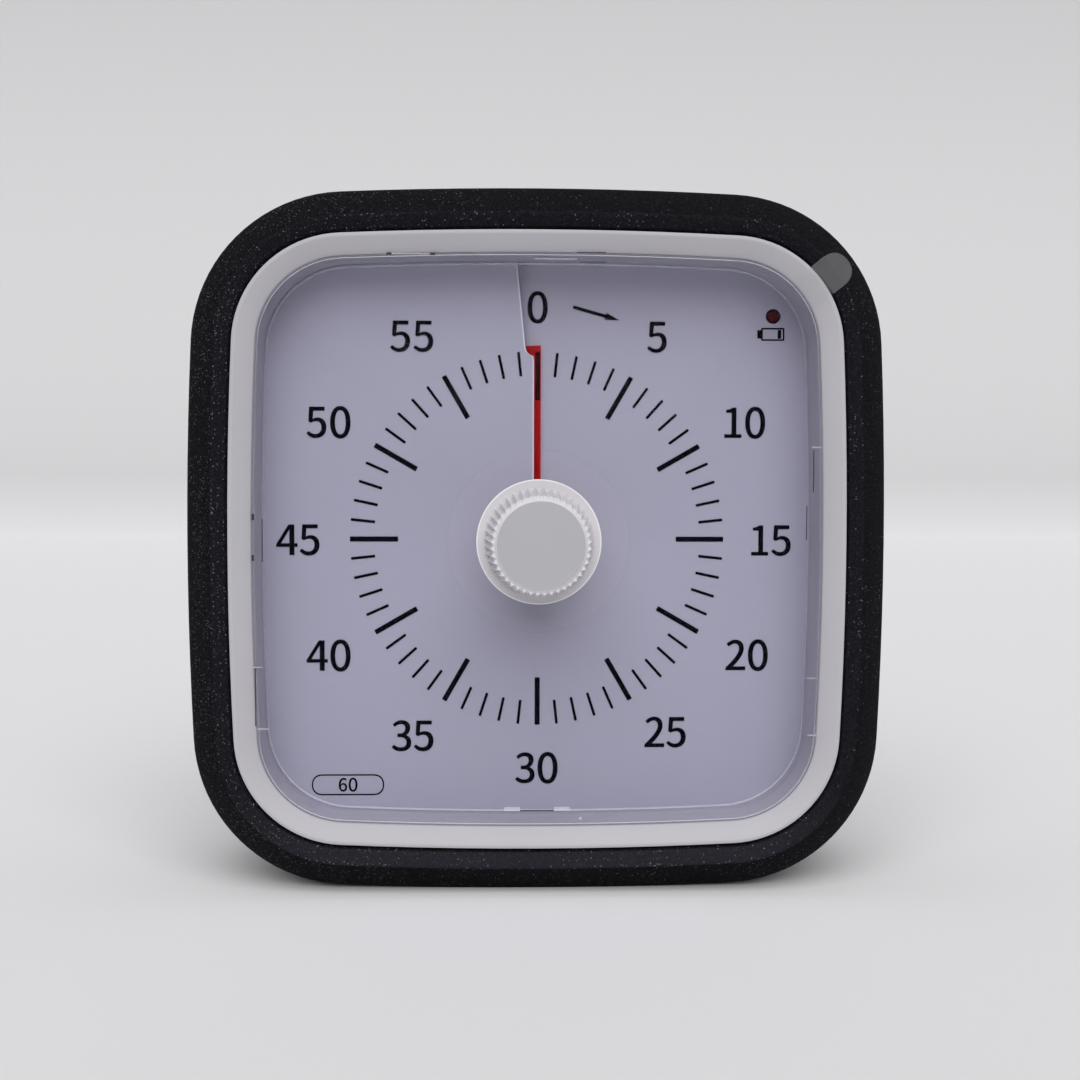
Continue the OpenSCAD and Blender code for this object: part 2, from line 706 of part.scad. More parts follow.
// a wheel and a pinion on one arbor
module wheel_set(at, m, teeth, low, high, turn, pin_m, pin_low, pin_high, pin_turn) {
    arbor(at);
    translate([at[0], at[1], 0]) {
        gear(m, teeth, low, high, turn);
        gear(pin_m, pinion_teeth, pin_low, pin_high, pin_turn);
    }
}

half_pinion = 180 / pinion_teeth;

module third_wheel() {
    color("#e8e0c8") place() wheel_set(third_at, m_third, third_teeth, third_z,
        third_z + third_t, third_dir, m_out, out_z - 0.3, out_z + out_t + 0.2,
        out_dir + 180 + half_pinion);
}

module second_wheel() {
    color("#e8e0c8") place() wheel_set(second_at, m_second, second_teeth, second_z,
        second_z + second_t, second_dir, m_third, third_z - 0.3, third_z + third_t + 0.2,
        third_dir + 180 + half_pinion);
}

module rotor() {
    color("#6d6f75") place() {
        arbor(rotor_at);
        rod(rotor_at, magnet_r, magnet_z, magnet_z + magnet_h);
        translate([rotor_at[0], rotor_at[1], 0]) gear(m_second, pinion_teeth,
            second_z - 0.3, second_z + second_t + 0.2, second_dir + 180 + half_pinion);
    }
}

module stator() {
    color("#9a9ca2") place() difference() {
        block([rotor_at[0] - 3.2, coil_x + 1.6], [coil_y[0] + 0.4, coil_y[1] - 0.4],
            [magnet_z + 0.2, magnet_z + 1.2]);
        rod(rotor_at, magnet_r + 0.5, magnet_z - 1, magnet_z + 3);
        block([coil_x - coil_r - 0.3, coil_x + coil_r + 0.3], [coil_y[0] + 2.4, coil_y[1] - 2.4],
            [magnet_z - 1, magnet_z + 3]);
        block([rotor_at[0] - 4, coil_x - coil_r - 1.8],
            [rotor_at[1] + magnet_r + 3, coil_y[1]], [magnet_z - 1, magnet_z + 3]);
    }
}

coil_core_z = [magnet_z + 1.25, magnet_z + 2.15];
module coil_core() {
    color("#8d8f95") place() difference() {
        union() {
            block([coil_x - 1, coil_x + 1], [coil_y[0] + 0.6, coil_y[1] - 0.6], coil_core_z);
            for (y = [coil_y[0] + 2, coil_y[1] - 2.6])
                block([coil_x - 2.4, coil_x + 2.4], [y, y + 0.6],
                    [coil_core_z[0], coil_core_z[1] + 1.6]);
        }
        for (y = [coil_y[0] + 1.3, coil_y[1] - 1.3])
            rod([coil_x, y], 0.35, magnet_z, coil_core_z[1] + 1);
    }
}

module coil_winding() {
    color("#b5642a") place() difference() {
        translate([coil_x, coil_y[0] + 2.65, (coil_core_z[0] + coil_core_z[1]) / 2])
            rotate([-90, 0, 0]) cylinder(r = coil_r, h = coil_y[1] - coil_y[0] - 5.3);
        block([coil_x - 1.05, coil_x + 1.05], coil_y, [coil_core_z[0] - 0.05,
            coil_core_z[1] + 0.05]);
    }
}

module retaining_clip() {
    color("silver") place() difference() {
        rod([0, 0], 2.9, back_plate_z - 0.75, back_plate_z - 0.1);
        rod([0, 0], spigot_r + 0.02, back_plate_z - 2, back_plate_z);
        block([0.9, 4], [-0.8, 0.8], [back_plate_z - 2, back_plate_z]);
    }
}

module movement_screws() {
    color("silver") place() for (p = pillar_at) difference() {
        union() {
            rod(p, 0.7, back_plate_z - 0.3, mid_top - 0.2);
            rod(p, 1.4, back_plate_z - 1.1, back_plate_z - 0.05);
        }
        cross_slot(p, back_plate_z - 1.1, 0.9);
    }
}

// ---------- electronics ----------

module circuit_board() {
    color("#2f6b45") place() difference() {
        block(board_x, board_y, [board_z + 0.05, board_z + board_t]);
        for (p = board_posts) rod(p, 0.9, board_z - 1, board_z + board_t + 1);
    }
}

module board_screws() {
    color("silver") place() for (p = board_posts) difference() {
        union() {
            rod(p, 0.65, board_z - 3.5, board_z + board_t + 0.5);
            rod(p, 1.6, board_z + board_t + 0.05, board_z + board_t + 1.1);
        }
        cross_slot(p, board_z + board_t + 1.1, 1);
    }
}

module timer_chip() {
    top = board_z + board_t;
    color("#17171a") place() intersection() {
        translate([-8, 22, top - 4.6]) sphere(r = 6);
        block([-15, 0], [15, 30], [top + 0.02, top + 2]);
    }
}

module quartz_can() {
    z = board_z + board_t + 1.1;
    color("#c4c6ca") place() union() {
        translate([12, 18, z]) rotate([0, 90, 0]) cylinder(r = 1, h = 6);
        for (y = [17.7, 18.3]) {
            translate([10, y, z]) rotate([0, 90, 0]) cylinder(r = 0.15, h = 2.2);
            translate([10.15, y, board_z + board_t + 0.02]) cylinder(r = 0.15, h = 1.1);
        }
    }
}

module board_parts() {
    z = board_z + board_t + 0.02;
    row_y = board_y[1] - 4.4;
    can_r = 2;
    can_h = 3.4;
    color("#b08a5a") place() {
        for (i = [0:3]) let (x = 3 + 2.4 * i) block([x, x + 1.2], [row_y, row_y + 2.2], [z, z + 0.6]);
        for (i = [0:2]) let (x = 20 + 2.6 * i) block([x, x + 1.4], [20, 22.6], [z, z + 0.7]);
        rod([board_x[1] - 7, row_y], can_r, z, z + can_h);
    }
}

module led() {
    tip = ramp_z(atan2(led_at[0], led_at[1])) + dial_t / 2 - 0.05;
    foot = mid_z - 1.2;
    flange = 0.8;
    color("#5a1418") place() translate([led_at[0], led_at[1], 0]) rotate_extrude() polygon([
        [0, foot], [led_r + 0.35, foot], [led_r + 0.35, foot + flange], [led_r, foot + flange],
        [led_r, tip - 0.3], [led_r - 0.25, tip], [0, tip]]);
}

module led_leads() {
    color("#c9cbd0") place() for (s = [-0.45, 0.45])
        rod([led_at[0] + s, led_at[1]], 0.2, board_z + board_t + 0.02, mid_z - 1.22);
}

module buzzer() {
    color("#1c1c1f") place() difference() {
        rod(buzzer_at, buzzer_r, floor_z + 0.05, floor_z + buzzer_h);
        rod(buzzer_at, 3, floor_z - 1, floor_z + 1.2);
    }
}

// body of a slide switch, open towards the back for its slider
module switch_body(at, travel) {
    half = switch_size[0] / 2;
    deep = switch_size[2];
    color("#c0c3c8") place() difference() {
        block([at[0] - half, at[0] + half], [at[1] - switch_size[1] / 2,
            at[1] + switch_size[1] / 2], [board_z - deep, board_z]);
        block([at[0] - (travel + 2.4) / 2, at[0] + (travel + 2.4) / 2],
            [at[1] - 0.9, at[1] + 0.9], [board_z - deep - 1, board_z - 1.2]);
    }
}

// slider: a stem inside the switch and a ribbed cap in the housing's slot
module slider(at) {
    color("#2a2b2f") place() union() {
        block([at[0] - 1, at[0] + 1], [at[1] - 0.7, at[1] + 0.7], [floor_z - 0.5, board_z - 1.5]);
        block([at[0] - slider_w / 2, at[0] + slider_w / 2],
            [at[1] - slider_h / 2, at[1] + slider_h / 2], [back_z - 0.3, floor_z + 0.3]);
        for (i = [-1:1]) block([at[0] + 1.1 * i - 0.25, at[0] + 1.1 * i + 0.25],
            [at[1] - slider_h / 2 + 0.2, at[1] + slider_h / 2 - 0.2], [back_z - 0.7, back_z]);
    }
}

module volume_switch() { switch_body(volume_at, 2 * volume_travel); }
module volume_slider() { slider(volume_at); }
module alarm_switch() { switch_body(alarm_at, alarm_travel); }
// stored at the left end of its travel
module alarm_slider() { slider([alarm_at[0] - alarm_travel / 2, alarm_at[1]]); }

// ---------- power ----------

module battery_tray() {
    out_x = tray_x + tray_wall;
    color("#e4e2e0") place() difference() {
        block([-out_x, out_x], [tray_low_y - tray_wall, tray_top_y + tray_wall],
            [tray_z, tray_ceiling + tray_wall]);
        block([-tray_x, tray_x], [tray_low_y, tray_top_y], [tray_z - 1, tray_ceiling]);
    }
}

// AAA cell: a can with a cap at one end
module cell(y, cap_side) {
    cap_h = 0.9;
    color("#2e7d52") place() translate([0, y, cell_z]) rotate([0, 90 * cap_side, 0]) union() {
        translate([0, 0, -cell_len / 2]) cylinder(r = cell_r, h = cell_len - cap_h);
        translate([0, 0, cell_len / 2 - cap_h - 0.1]) cylinder(r = 1.9, h = cap_h + 0.1);
    }
}
module cell_upper() { cell(cell_y[0], 1); }
module cell_lower() { cell(cell_y[1], -1); }

// conical spring of stacked rings on each cell's flat end
module battery_springs() {
    wire = 0.25;
    turns = 4;
    color("#cfd0d4") place() for (s = [0, 1]) let (side = s == 0 ? -1 : 1)
        translate([side * cell_len / 2, cell_y[s], cell_z]) rotate([0, 90 * side, 0]) union() {
            for (i = [0:turns - 1]) translate([0, 0, wire + 0.05 + i * 0.47])
                rotate_extrude() translate([2.1 + 0.35 * i, 0]) circle(r = wire, $fn = 16);
            for (i = [0:turns - 2]) translate([2.1 + 0.35 * i, 0, wire + 0.05 + i * 0.47])
                rotate([0, 35, 0]) cylinder(r = 0.2, h = 0.6);
        }
}

module battery_contacts() {
    face = tray_x - 0.05;
    plate_t = 0.3;
    color("#d8d9dc") place() for (side = [-1, 1]) for (s = [0, 1])
        let (x = side * face, spring_end = (s == 0) == (side < 0)) {
            block([min(x, x - side * plate_t), max(x, x - side * plate_t)],
                [cell_y[s] - 4, cell_y[s] + 4], [cell_z - 4, cell_z + 4]);
            if (!spring_end) translate([x - side * plate_t, cell_y[s], cell_z])
                rotate([0, -90 * side, 0])
                    cylinder(r1 = 2.6, r2 = 1.8, h = tray_x - 0.05 - plate_t - cell_len / 2 - 0.05);
        }
}

module battery_door() {
    x = aperture_x - door_gap;
    y = [aperture_y[0] + door_gap, aperture_y[1] - door_gap];
    latch_x = 5;
    color("#e4e2e0") place() difference() {
        union() {
            block([-x, x], y, [back_z, floor_z]);
            for (s = [-1, 1]) {
                translate([s * lug_x - lug_w / 2, lug_at[0], lug_at[1]]) rotate([0, 90, 0])
                    cylinder(r = lug_r, h = lug_w);
                block([s * lug_x - lug_w / 2, s * lug_x + lug_w / 2], [lug_at[0], y[0] + 0.5],
                    [lug_at[1] - lug_r + 0.2, lug_at[1] + lug_r]);
            }
            for (i = [0:3]) block([-3, 3], [y[1] - 2.2 - 1.1 * i, y[1] - 1.7 - 1.1 * i],
                [back_z - 0.4, back_z + 0.5]);
        }
        for (s = [-1, 1]) block([s * latch_x - 0.4, s * latch_x + 0.4], [y[1] - 8, y[1] + 1],
            [back_z - 1, floor_z + 1]);
    }
}

// wire of eight sides through a list of points, mitred where it bends
function unit(v) = v / norm(v);
module wire(points, r) {
    n = len(points);
    sides = 8;
    along = [for (i = [0:n - 2]) unit(points[i + 1] - points[i])];
    // ring directions are carried along the wire, square to each stretch
    function carry(i) = i == 0
        ? unit(cross(along[0], abs(along[0][2]) > 0.9 ? [1, 0, 0] : [0, 0, 1]))
        : let (u = carry(i - 1), m = unit(along[i - 1] + along[i]),
            w = u - along[i - 1] * (u * m) / (along[i - 1] * m))
            unit(w - along[i] * (w * along[i]));
    rings = [for (i = [0:n - 1]) let (
        d = along[min(i, n - 2)], u = carry(min(i, n - 2)), v = cross(d, u),
        m = i == 0 || i == n - 1 ? d : unit(along[i - 1] + along[i]))
        [for (k = [0:sides - 1]) let (
            o = r * (cos(360 * k / sides) * u + sin(360 * k / sides) * v))
            points[i] + o - d * (o * m) / (d * m)]];
    polyhedron(
        points = [for (ring = rings) for (q = ring) q],
        faces = concat(
            [[for (k = [0:sides - 1]) k]],
            [for (i = [0:n - 2]) for (k = [0:sides - 1]) let (
                a = i * sides + k, b = i * sides + (k + 1) % sides)
                for (f = [[a, b + sides, b], [a, a + sides, b + sides]]) f],
            [[for (k = [0:sides - 1]) n * sides - 1 - k]]));
}

// from the tray's ends, past the movement, down to the board
module battery_wires() {
    z = mid_z - 1;
    start = tray_x + tray_wall + 0.05;
    end_z = board_z + board_t + 0.05;
    color("#c02020") place() for (route = [[-1, 24, 7.5], [1, 35, 0.5]])
        let (s = route[0], far = route[1], y = cell_y[0] + route[2])
            wire([[s * start, cell_y[0], cell_z], [s * (start + 1.6), cell_y[0], cell_z],
                [s * (start + 1.6), cell_y[0], z], [s * (start + 1.6), y, z],
                [s * far, y + 4, z], [s * far, 22, z], [s * far, 22, end_z]], 0.5);
}

module buzzer_wires() {
    low = floor_z + buzzer_h + 0.02;
    color("#c02020") place() for (s = [-1, 1])
        rod([buzzer_at[0] + 3 * s, buzzer_at[1] - 2], 0.4, low, board_z + 0.02);
}

module coil_wires() {
    z = coil_core_z[1] + 1.85;
    color("#b5642a") place() for (s = [0, 1])
        wire([[coil_x + 0.6 * s, coil_y[1] - 2.6, z], [coil_x + 0.6 * s, 15 + 1.6 * s, z],
            [coil_x + 0.6 * s, 15 + 1.6 * s, board_z + board_t + 0.05]], 0.2);
}

silicone_sleeve();
front_housing();
rear_housing();
clear_cover();
protective_film();
knob();
knob_shaft();
disc_hub();
red_disc();
dial_plate();
dial_ring();
mid_plate();
movement_front_plate();
movement_back_plate();
output_wheel();
clutch_washer();
third_wheel();
second_wheel();
rotor();
stator();
coil_core();
coil_winding();
retaining_clip();
circuit_board();
timer_chip();
quartz_can();
board_parts();
led();
led_leads();
buzzer();
volume_switch();
volume_slider();
alarm_switch();
alarm_slider();
battery_tray();
cell_upper();
cell_lower();
battery_springs();
battery_contacts();
battery_door();
battery_wires();
buzzer_wires();
coil_wires();
case_screws();
movement_screws();
board_screws();
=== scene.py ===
"""Looks of the visual countdown timer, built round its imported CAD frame.

Lengths are millimetres in the dial's own frame: x right, y up, z towards the viewer, with
z = 0 at the dial's mean level. settle() turns that into the part's frame, in metres.
Clock angles are degrees from the top of the dial, clockwise.
"""

import json
import math

import bmesh
import bpy
from mathutils import Matrix, Vector


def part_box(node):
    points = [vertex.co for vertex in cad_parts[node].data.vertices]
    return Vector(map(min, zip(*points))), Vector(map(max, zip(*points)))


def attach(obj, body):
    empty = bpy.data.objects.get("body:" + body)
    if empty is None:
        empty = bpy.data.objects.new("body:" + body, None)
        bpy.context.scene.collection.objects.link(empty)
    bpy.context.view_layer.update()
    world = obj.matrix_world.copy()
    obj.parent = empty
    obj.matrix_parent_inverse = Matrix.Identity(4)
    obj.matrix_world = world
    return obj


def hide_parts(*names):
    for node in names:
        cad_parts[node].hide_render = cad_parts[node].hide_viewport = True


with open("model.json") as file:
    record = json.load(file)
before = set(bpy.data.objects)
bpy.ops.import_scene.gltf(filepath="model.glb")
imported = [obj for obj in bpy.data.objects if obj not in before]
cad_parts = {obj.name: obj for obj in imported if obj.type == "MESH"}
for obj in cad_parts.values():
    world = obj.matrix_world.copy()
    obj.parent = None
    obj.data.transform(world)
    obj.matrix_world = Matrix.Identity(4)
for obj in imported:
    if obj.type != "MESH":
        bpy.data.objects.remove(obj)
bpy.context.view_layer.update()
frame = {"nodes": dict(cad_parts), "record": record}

# ---------- sizes ----------

MM = 0.001

# the case's outline, whose base is cut flat
CASE_W, CASE_H = 92, 92.8
CORNER_R = 20.5
SIDE_R = 550
BASE_CUT = 0.35
CENTRE_Z = CASE_H / 2 - BASE_CUT

# levels of the case
KNOB_FRONT_Z = 21
BEZEL_Z = 9
BACK_Z = -19
SPLIT_Z = -5
SHOULDER_Z = BEZEL_Z - 1.5
WELL_END_Z = SPLIT_Z + 2.8

# the sleeve: distances inside the outline, and levels
SLEEVE_WALL = 2.85
SLEEVE_FRONT = 5.95
SLEEVE_BACK = 10
CREST_Z = BEZEL_Z + 1.2
CREST_IN = 4.05
SLEEVE_BACK_Z = -21
SLEEVE_PLAY = 0.15

# housing, cover and film: distances inside the outline, levels and thicknesses
WINDOW = 8.85
HOUSING = 3.0
CAVITY = 4.8
COVER_IN = WINDOW + 0.2
COVER_Z = BEZEL_Z - 0.4
COVER_T = 1.6
COVER_HOLE_R = 5.2
SKIRT_END = 1.8
SKIRT_T = 1.1
FILM_IN = 9.4
FILM_Z = COVER_Z + 0.03
FILM_T = 0.12
FILM_HOLE_R = 11.8
# height of the thin shapes that are painted as an edge's glint, or as the shade down in a gap or a
# slot
TRACE_T = 0.02

# the dial, which climbs by its pitch in one turn, and its print
PITCH = 1.4
DIAL_T = 0.5
DIAL_HOLE_R = 5.6
LAMP_HOLE_R = 1.02
# the ticks are printed a little off the middle; radii of their outer and inner ends
TICKS_AT = (0.08, -0.04)
TICK_OUTER, TICK_MINOR, TICK_MAJOR = 25.3, 22.03, 18.82
MINOR_W, MAJOR_W = 0.37, 0.68
# height of a digit, and the step from one to the next
CAP_H = 4.12
ADVANCE = 3.1
INK_T = 0.02
INK_Z = DIAL_T / 2 + 0.045

# the knob
NECK_R, NECK_END_Z = 4.4, 3.4
FLANGE_R, FLANGE_Z, FLANGE_T = 8.05, 9.4, 1.1
GRIP_Z = FLANGE_Z + FLANGE_T
GRIP_BASE_R, GRIP_FRONT_R = 7.1, 6.3
RIDGES = 44
RIDGE_T = 0.54

# the photograph's camera: a 1400 pixel focal length on a 1080 pixel frame
FOCAL_PX, FRAME_PX, SENSOR = 1400, 1080, 36
CAM_TILT, CAM_PAN, CAM_ROLL = 2.38, -1.6, 0.145
CAM_OFFSET = Vector((-0.42, -0.175, 189.98))

# the light: a broad key from above in front, and a weak sky that is brighter overhead
SKY_SIDE, SKY_TOP = 0.18, 0.4
KEY_STRENGTH, KEY_SPREAD, KEY_RISE = 2.2, 60, 42
# the floor and backdrop, in metres
FLOOR_W, FLOOR_D, FLOOR_BEHIND, BACKDROP_H, BACKDROP_R = 6, 3, 0.6, 2.5, 0.9


def box_mid(node):
    """Middle of a CAD node at rest, in the dial's own frame."""
    low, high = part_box(node)
    mid = (low + high) / (2 * MM)
    return Vector((mid.x, mid.z - CENTRE_Z, -mid.y))


# ---------- modelling helpers ----------

DIAL_FRAME = (
    Matrix.Translation((0, 0, CENTRE_Z * MM))
    @ Matrix.Rotation(math.radians(90), 4, "X")
    @ Matrix.Scale(MM, 4)
)


def polar(r, clock):
    """Point at a radius and clock angle."""
    return r * math.sin(math.radians(clock)), r * math.cos(math.radians(clock))


def ramp(clock):
    """Height of the dial's middle surface at a clock angle."""
    return PITCH * (clock / 360 - 0.5)


def only(*objs):
    """Selects these objects and no others; the first is active."""
    bpy.ops.object.select_all(action="DESELECT")
    for o in objs:
        o.select_set(True)
    bpy.context.view_layer.objects.active = objs[0]


def edit(obj):
    """Opens a mesh in edit mode."""
    only(obj)
    bpy.ops.object.mode_set(mode="EDIT")


def done():
    """Leaves edit mode."""
    bpy.ops.object.mode_set(mode="OBJECT")


def pick(kind, test):
    """Selects the faces, edges or vertices of the mesh in edit mode that pass a test."""
    bpy.ops.mesh.select_mode(type=kind)
    bpy.ops.mesh.select_all(action="DESELECT")
    mesh = bmesh.from_edit_mesh(bpy.context.edit_object.data)
    parts = {"FACE": mesh.faces, "EDGE": mesh.edges, "VERT": mesh.verts}[kind]
    for part in parts:
        if test(part):
            part.select_set(True)
    mesh.select_flush_mode()
    bmesh.update_edit_mesh(bpy.context.edit_object.data)


def move(x=0, y=0, z=0):
    """Moves what is selected."""
    bpy.ops.transform.translate(value=(x, y, z))


def raise_by(height):
    """Extrudes what is selected straight up."""
    bpy.ops.mesh.extrude_region_move(TRANSFORM_OT_translate={"value": (0, 0, height)})


def scale_about_axis(x, y):
    """Scales what is selected about the knob's axis."""
    bpy.ops.transform.resize(value=(x, y, 1), center_override=(0, 0, 0))


def place_in_mesh(obj):
    """Moves an object's place, turn and size into its mesh."""
    only(obj)
    bpy.ops.object.transform_apply(location=True, rotation=True, scale=True)


def start_point(name, x, y, z):
    """New mesh in edit mode, a plane merged down to one point."""
    bpy.ops.object.select_all(action="DESELECT")
    bpy.ops.mesh.primitive_plane_add(size=1)
    obj = bpy.context.object
    obj.name = obj.data.name = name
    edit(obj)
    bpy.ops.mesh.select_mode(type="VERT")
    bpy.ops.mesh.select_all(action="SELECT")
    bpy.ops.mesh.merge(type="CENTER")
    move(x, y, z)
    return obj


def draw(points):
    """Draws on from the selected point through the other points, as steps from the first."""
    for a, b in zip(points, points[1:]):
        step = [q - p for p, q in zip(a, b)]
        bpy.ops.mesh.extrude_region_move(TRANSFORM_OT_translate={"value": step})


def closed_line(name, points):
    """Mesh in edit mode that is one closed line through the points, all of it selected."""
    obj = start_point(name, *points[0])
    draw(points)
    pick("VERT", lambda v: len(v.link_edges) == 1)
    bpy.ops.mesh.edge_face_add()
    bpy.ops.mesh.select_all(action="SELECT")
    return obj


def plate(name, points, low, high):
    """Flat plate between two levels, with a closed outline of [x, y] points."""
    obj = closed_line(name, [(x, y, low) for x, y in points])
    bpy.ops.mesh.edge_face_add()
    raise_by(high - low)
    close()
    return obj


def close(doubles=0.001):
    """Merges doubles, turns faces outwards and leaves edit mode."""
    bpy.ops.mesh.select_all(action="SELECT")
    bpy.ops.mesh.remove_doubles(threshold=doubles)
    bpy.ops.mesh.normals_make_consistent(inside=False)
    done()


def modify(obj, kind, **settings):
    """Adds a modifier with its settings and applies it."""
    only(obj)
    modifier = obj.modifiers.new(kind.lower(), kind)
    for key, value in settings.items():
        setattr(modifier, key, value)
    bpy.ops.object.modifier_apply(modifier=modifier.name)


def soften(obj, width, angle):
    """Rounds the edges that are sharper than an angle by a small bevel."""
    modify(obj, "BEVEL", width=width, segments=2, limit_method="ANGLE",
           angle_limit=math.radians(angle), use_clamp_overlap=True)


def cut(obj, *cutters, operation="DIFFERENCE"):
    """Cuts a piece with each cutter, or keeps what they share, and removes the cutters."""
    for cutter in cutters:
        modify(obj, "BOOLEAN", object=cutter, operation=operation, solver="EXACT")
        bpy.data.objects.remove(cutter)


def drum(name, r, low, high, sides=48, x=0, y=0):
    """Upright round bar between two levels."""
    bpy.ops.object.select_all(action="DESELECT")
    bpy.ops.mesh.primitive_cylinder_add(vertices=sides, radius=r, depth=high - low,
                                        location=(x, y, (low + high) / 2))
    obj = bpy.context.object
    obj.name = obj.data.name = name
    place_in_mesh(obj)
    return obj


def washer(name, inner, outer, low, high, sides):
    """Flat round ring about the knob's axis."""
    obj = drum(name, outer, low, high, sides)
    cut(obj, drum("hole", inner, low - 1, high + 1, sides))
    return obj


def lathe(name, profile):
    """Solid of revolution about the knob's axis from [r, z] points, the first and last on it."""
    obj = start_point(name, profile[0][0], 0, profile[0][1])
    draw([(r, 0, z) for r, z in profile])
    bpy.ops.mesh.select_all(action="SELECT")
    bpy.ops.mesh.spin(steps=96, angle=2 * math.pi, center=(0, 0, 0), axis=(0, 0, 1))
    close()
    return obj


def join(name, *objs):
    """Joins meshes into the first one."""
    only(*objs)
    bpy.ops.object.join()
    objs[0].name = objs[0].data.name = name
    return objs[0]


def copy_of(obj):
    """Copy of an object, with its own mesh."""
    only(obj)
    bpy.ops.object.duplicate()
    return bpy.context.object


def smooth(obj, angle):
    """Shades a mesh smooth, except at edges sharper than an angle."""
    only(obj)
    bpy.ops.object.shade_smooth_by_angle(angle=math.radians(angle))


def settle(obj, body, material, slot, *nodes, angle=35):
    """Puts a finished piece into the part's frame and gives it its finish and its body."""
    obj.matrix_world = DIAL_FRAME @ obj.matrix_world
    place_in_mesh(obj)
    smooth(obj, angle)
    obj.data.materials.clear()
    obj.data.materials.append(material)
    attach(obj, body)
    if nodes:
        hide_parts(*nodes)


def between(table, place):
    """Value at a place in a list of (place, value) points, on a straight line between them."""
    for (a, low), (b, high) in zip(table, table[1:]):
        if place <= b:
            return low + (high - low) * (place - a) / (b - a)
    return table[-1][1]


# ---------- the case's outline: four bowed sides with round corners ----------

BOW_X, BOW_Y = CASE_W / 2 - SIDE_R, CASE_H / 2 - SIDE_R


def corner_centre():
    """Centre of the corner's arc, which meets both bowed sides without a kink."""
    slope = BOW_X / BOW_Y
    level = (BOW_Y**2 - BOW_X**2) / (2 * BOW_Y)
    middle = level * slope - BOW_X
    rest = BOW_X**2 + level**2 - (SIDE_R - CORNER_R) ** 2
    x = (-middle + math.sqrt(middle**2 - (1 + slope**2) * rest)) / (1 + slope**2)
    return x, level + slope * x


CORNER_X, CORNER_Y = corner_centre()
SIDE_HALF = math.atan2(CORNER_Y, CORNER_X - BOW_X)
TOP_HALF = math.atan2(CORNER_X, CORNER_Y - BOW_Y)
CORNER_TURN = math.pi / 2 - SIDE_HALF - TOP_HALF
SIDE_STEPS, CORNER_STEPS = 10, 20


def round_case():
    """Sweeps what is selected round the case: a section or a point at the right side's foot."""
    turns = [
        ((BOW_X, 0), 2 * SIDE_HALF), ((CORNER_X, CORNER_Y), CORNER_TURN),
        ((0, BOW_Y), 2 * TOP_HALF), ((-CORNER_X, CORNER_Y), CORNER_TURN),
        ((-BOW_X, 0), 2 * SIDE_HALF), ((-CORNER_X, -CORNER_Y), CORNER_TURN),
        ((0, -BOW_Y), 2 * TOP_HALF), ((CORNER_X, -CORNER_Y), CORNER_TURN),
    ]
    for centre, angle in turns:
        steps = CORNER_STEPS if angle == CORNER_TURN else SIDE_STEPS
        bpy.ops.mesh.spin(steps=steps, angle=angle, center=(*centre, 0), axis=(0, 0, -1))


def at_foot(inset, z):
    """Point of the right side's foot, where its arc starts, a distance inside the outline."""
    r = SIDE_R - inset
    return BOW_X + r * math.cos(SIDE_HALF), -r * math.sin(SIDE_HALF), z


def swept(name, section, rounding=()):
    """Closed ring with a section of [inset, z] points.

    rounding lists the corners to round: the point's place in the section, radius and segments.
    """
    obj = closed_line(name, [at_foot(*p) for p in section])
    if rounding:
        bpy.ops.mesh.edge_face_add()
        for index, r, segments in rounding:
            corner = Vector(at_foot(*section[index]))
            pick("VERT", lambda v: (v.co - corner).length < 1e-4)
            bpy.ops.mesh.bevel(offset_type="OFFSET", offset=r, segments=segments,
                               affect="VERTICES", clamp_overlap=False)
        bpy.ops.mesh.select_all(action="SELECT")
        bpy.ops.mesh.delete(type="ONLY_FACE")
        bpy.ops.mesh.select_all(action="SELECT")
    round_case()
    close()
    return obj


# the photographed front is a little less high than the CAD outline, by these shares of it
UPPER, LOWER = 0.9925, 0.994


def flatter(obj, upper=UPPER, lower=LOWER, above=-math.inf, below=math.inf):
    """Makes a piece's upper and lower half less high, about the dial's middle.

    Only points between the levels above and below are moved.
    """
    edit(obj)
    for sign, factor in ((1, upper), (-1, lower)):
        pick("VERT", lambda v: v.co.y * sign > 0 and above < v.co.z < below)
        scale_about_axis(1, factor)
    done()
    return obj


def case_plate(name, inset, low, high):
    """Flat plate with the case's outline, a distance inside it."""
    obj = start_point(name, *at_foot(inset, low))
    round_case()
    bpy.ops.mesh.select_all(action="SELECT")
    bpy.ops.mesh.remove_doubles(threshold=0.001)
    bpy.ops.mesh.edge_face_add()
    raise_by(high - low)
    close()
    return obj


# ---------- materials ----------


def linear(text):
    """sRGB hex colour as a linear RGBA."""
    channels = [int(text[i:i + 2], 16) / 255 for i in (1, 3, 5)]
    return *(c / 12.92 if c <= 0.04045 else ((c + 0.055) / 1.055) ** 2.4 for c in channels), 1


def node(tree, kind, inputs=None, **settings):
    """Adds a node with its settings; an input is a value, or a socket to link from."""
    made = tree.nodes.new("ShaderNode" + kind)
    for key, value in settings.items():
        setattr(made, key, value)
    for key, value in (inputs or {}).items():
        if isinstance(value, bpy.types.NodeSocket):
            tree.links.new(value, made.inputs[key])
        else:
            made.inputs[key].default_value = value
    return made


def blank(name):
    """New material with nothing in it but its output: the material, its tree and the output."""
    material = bpy.data.materials.new(name)
    material.use_nodes = True
    tree = material.node_tree
    tree.nodes.clear()
    return material, tree, node(tree, "OutputMaterial")


def scale_for(size_mm):
    """Scale of a pattern whose cells or blobs have a real size."""
    return 1 / (size_mm * MM)


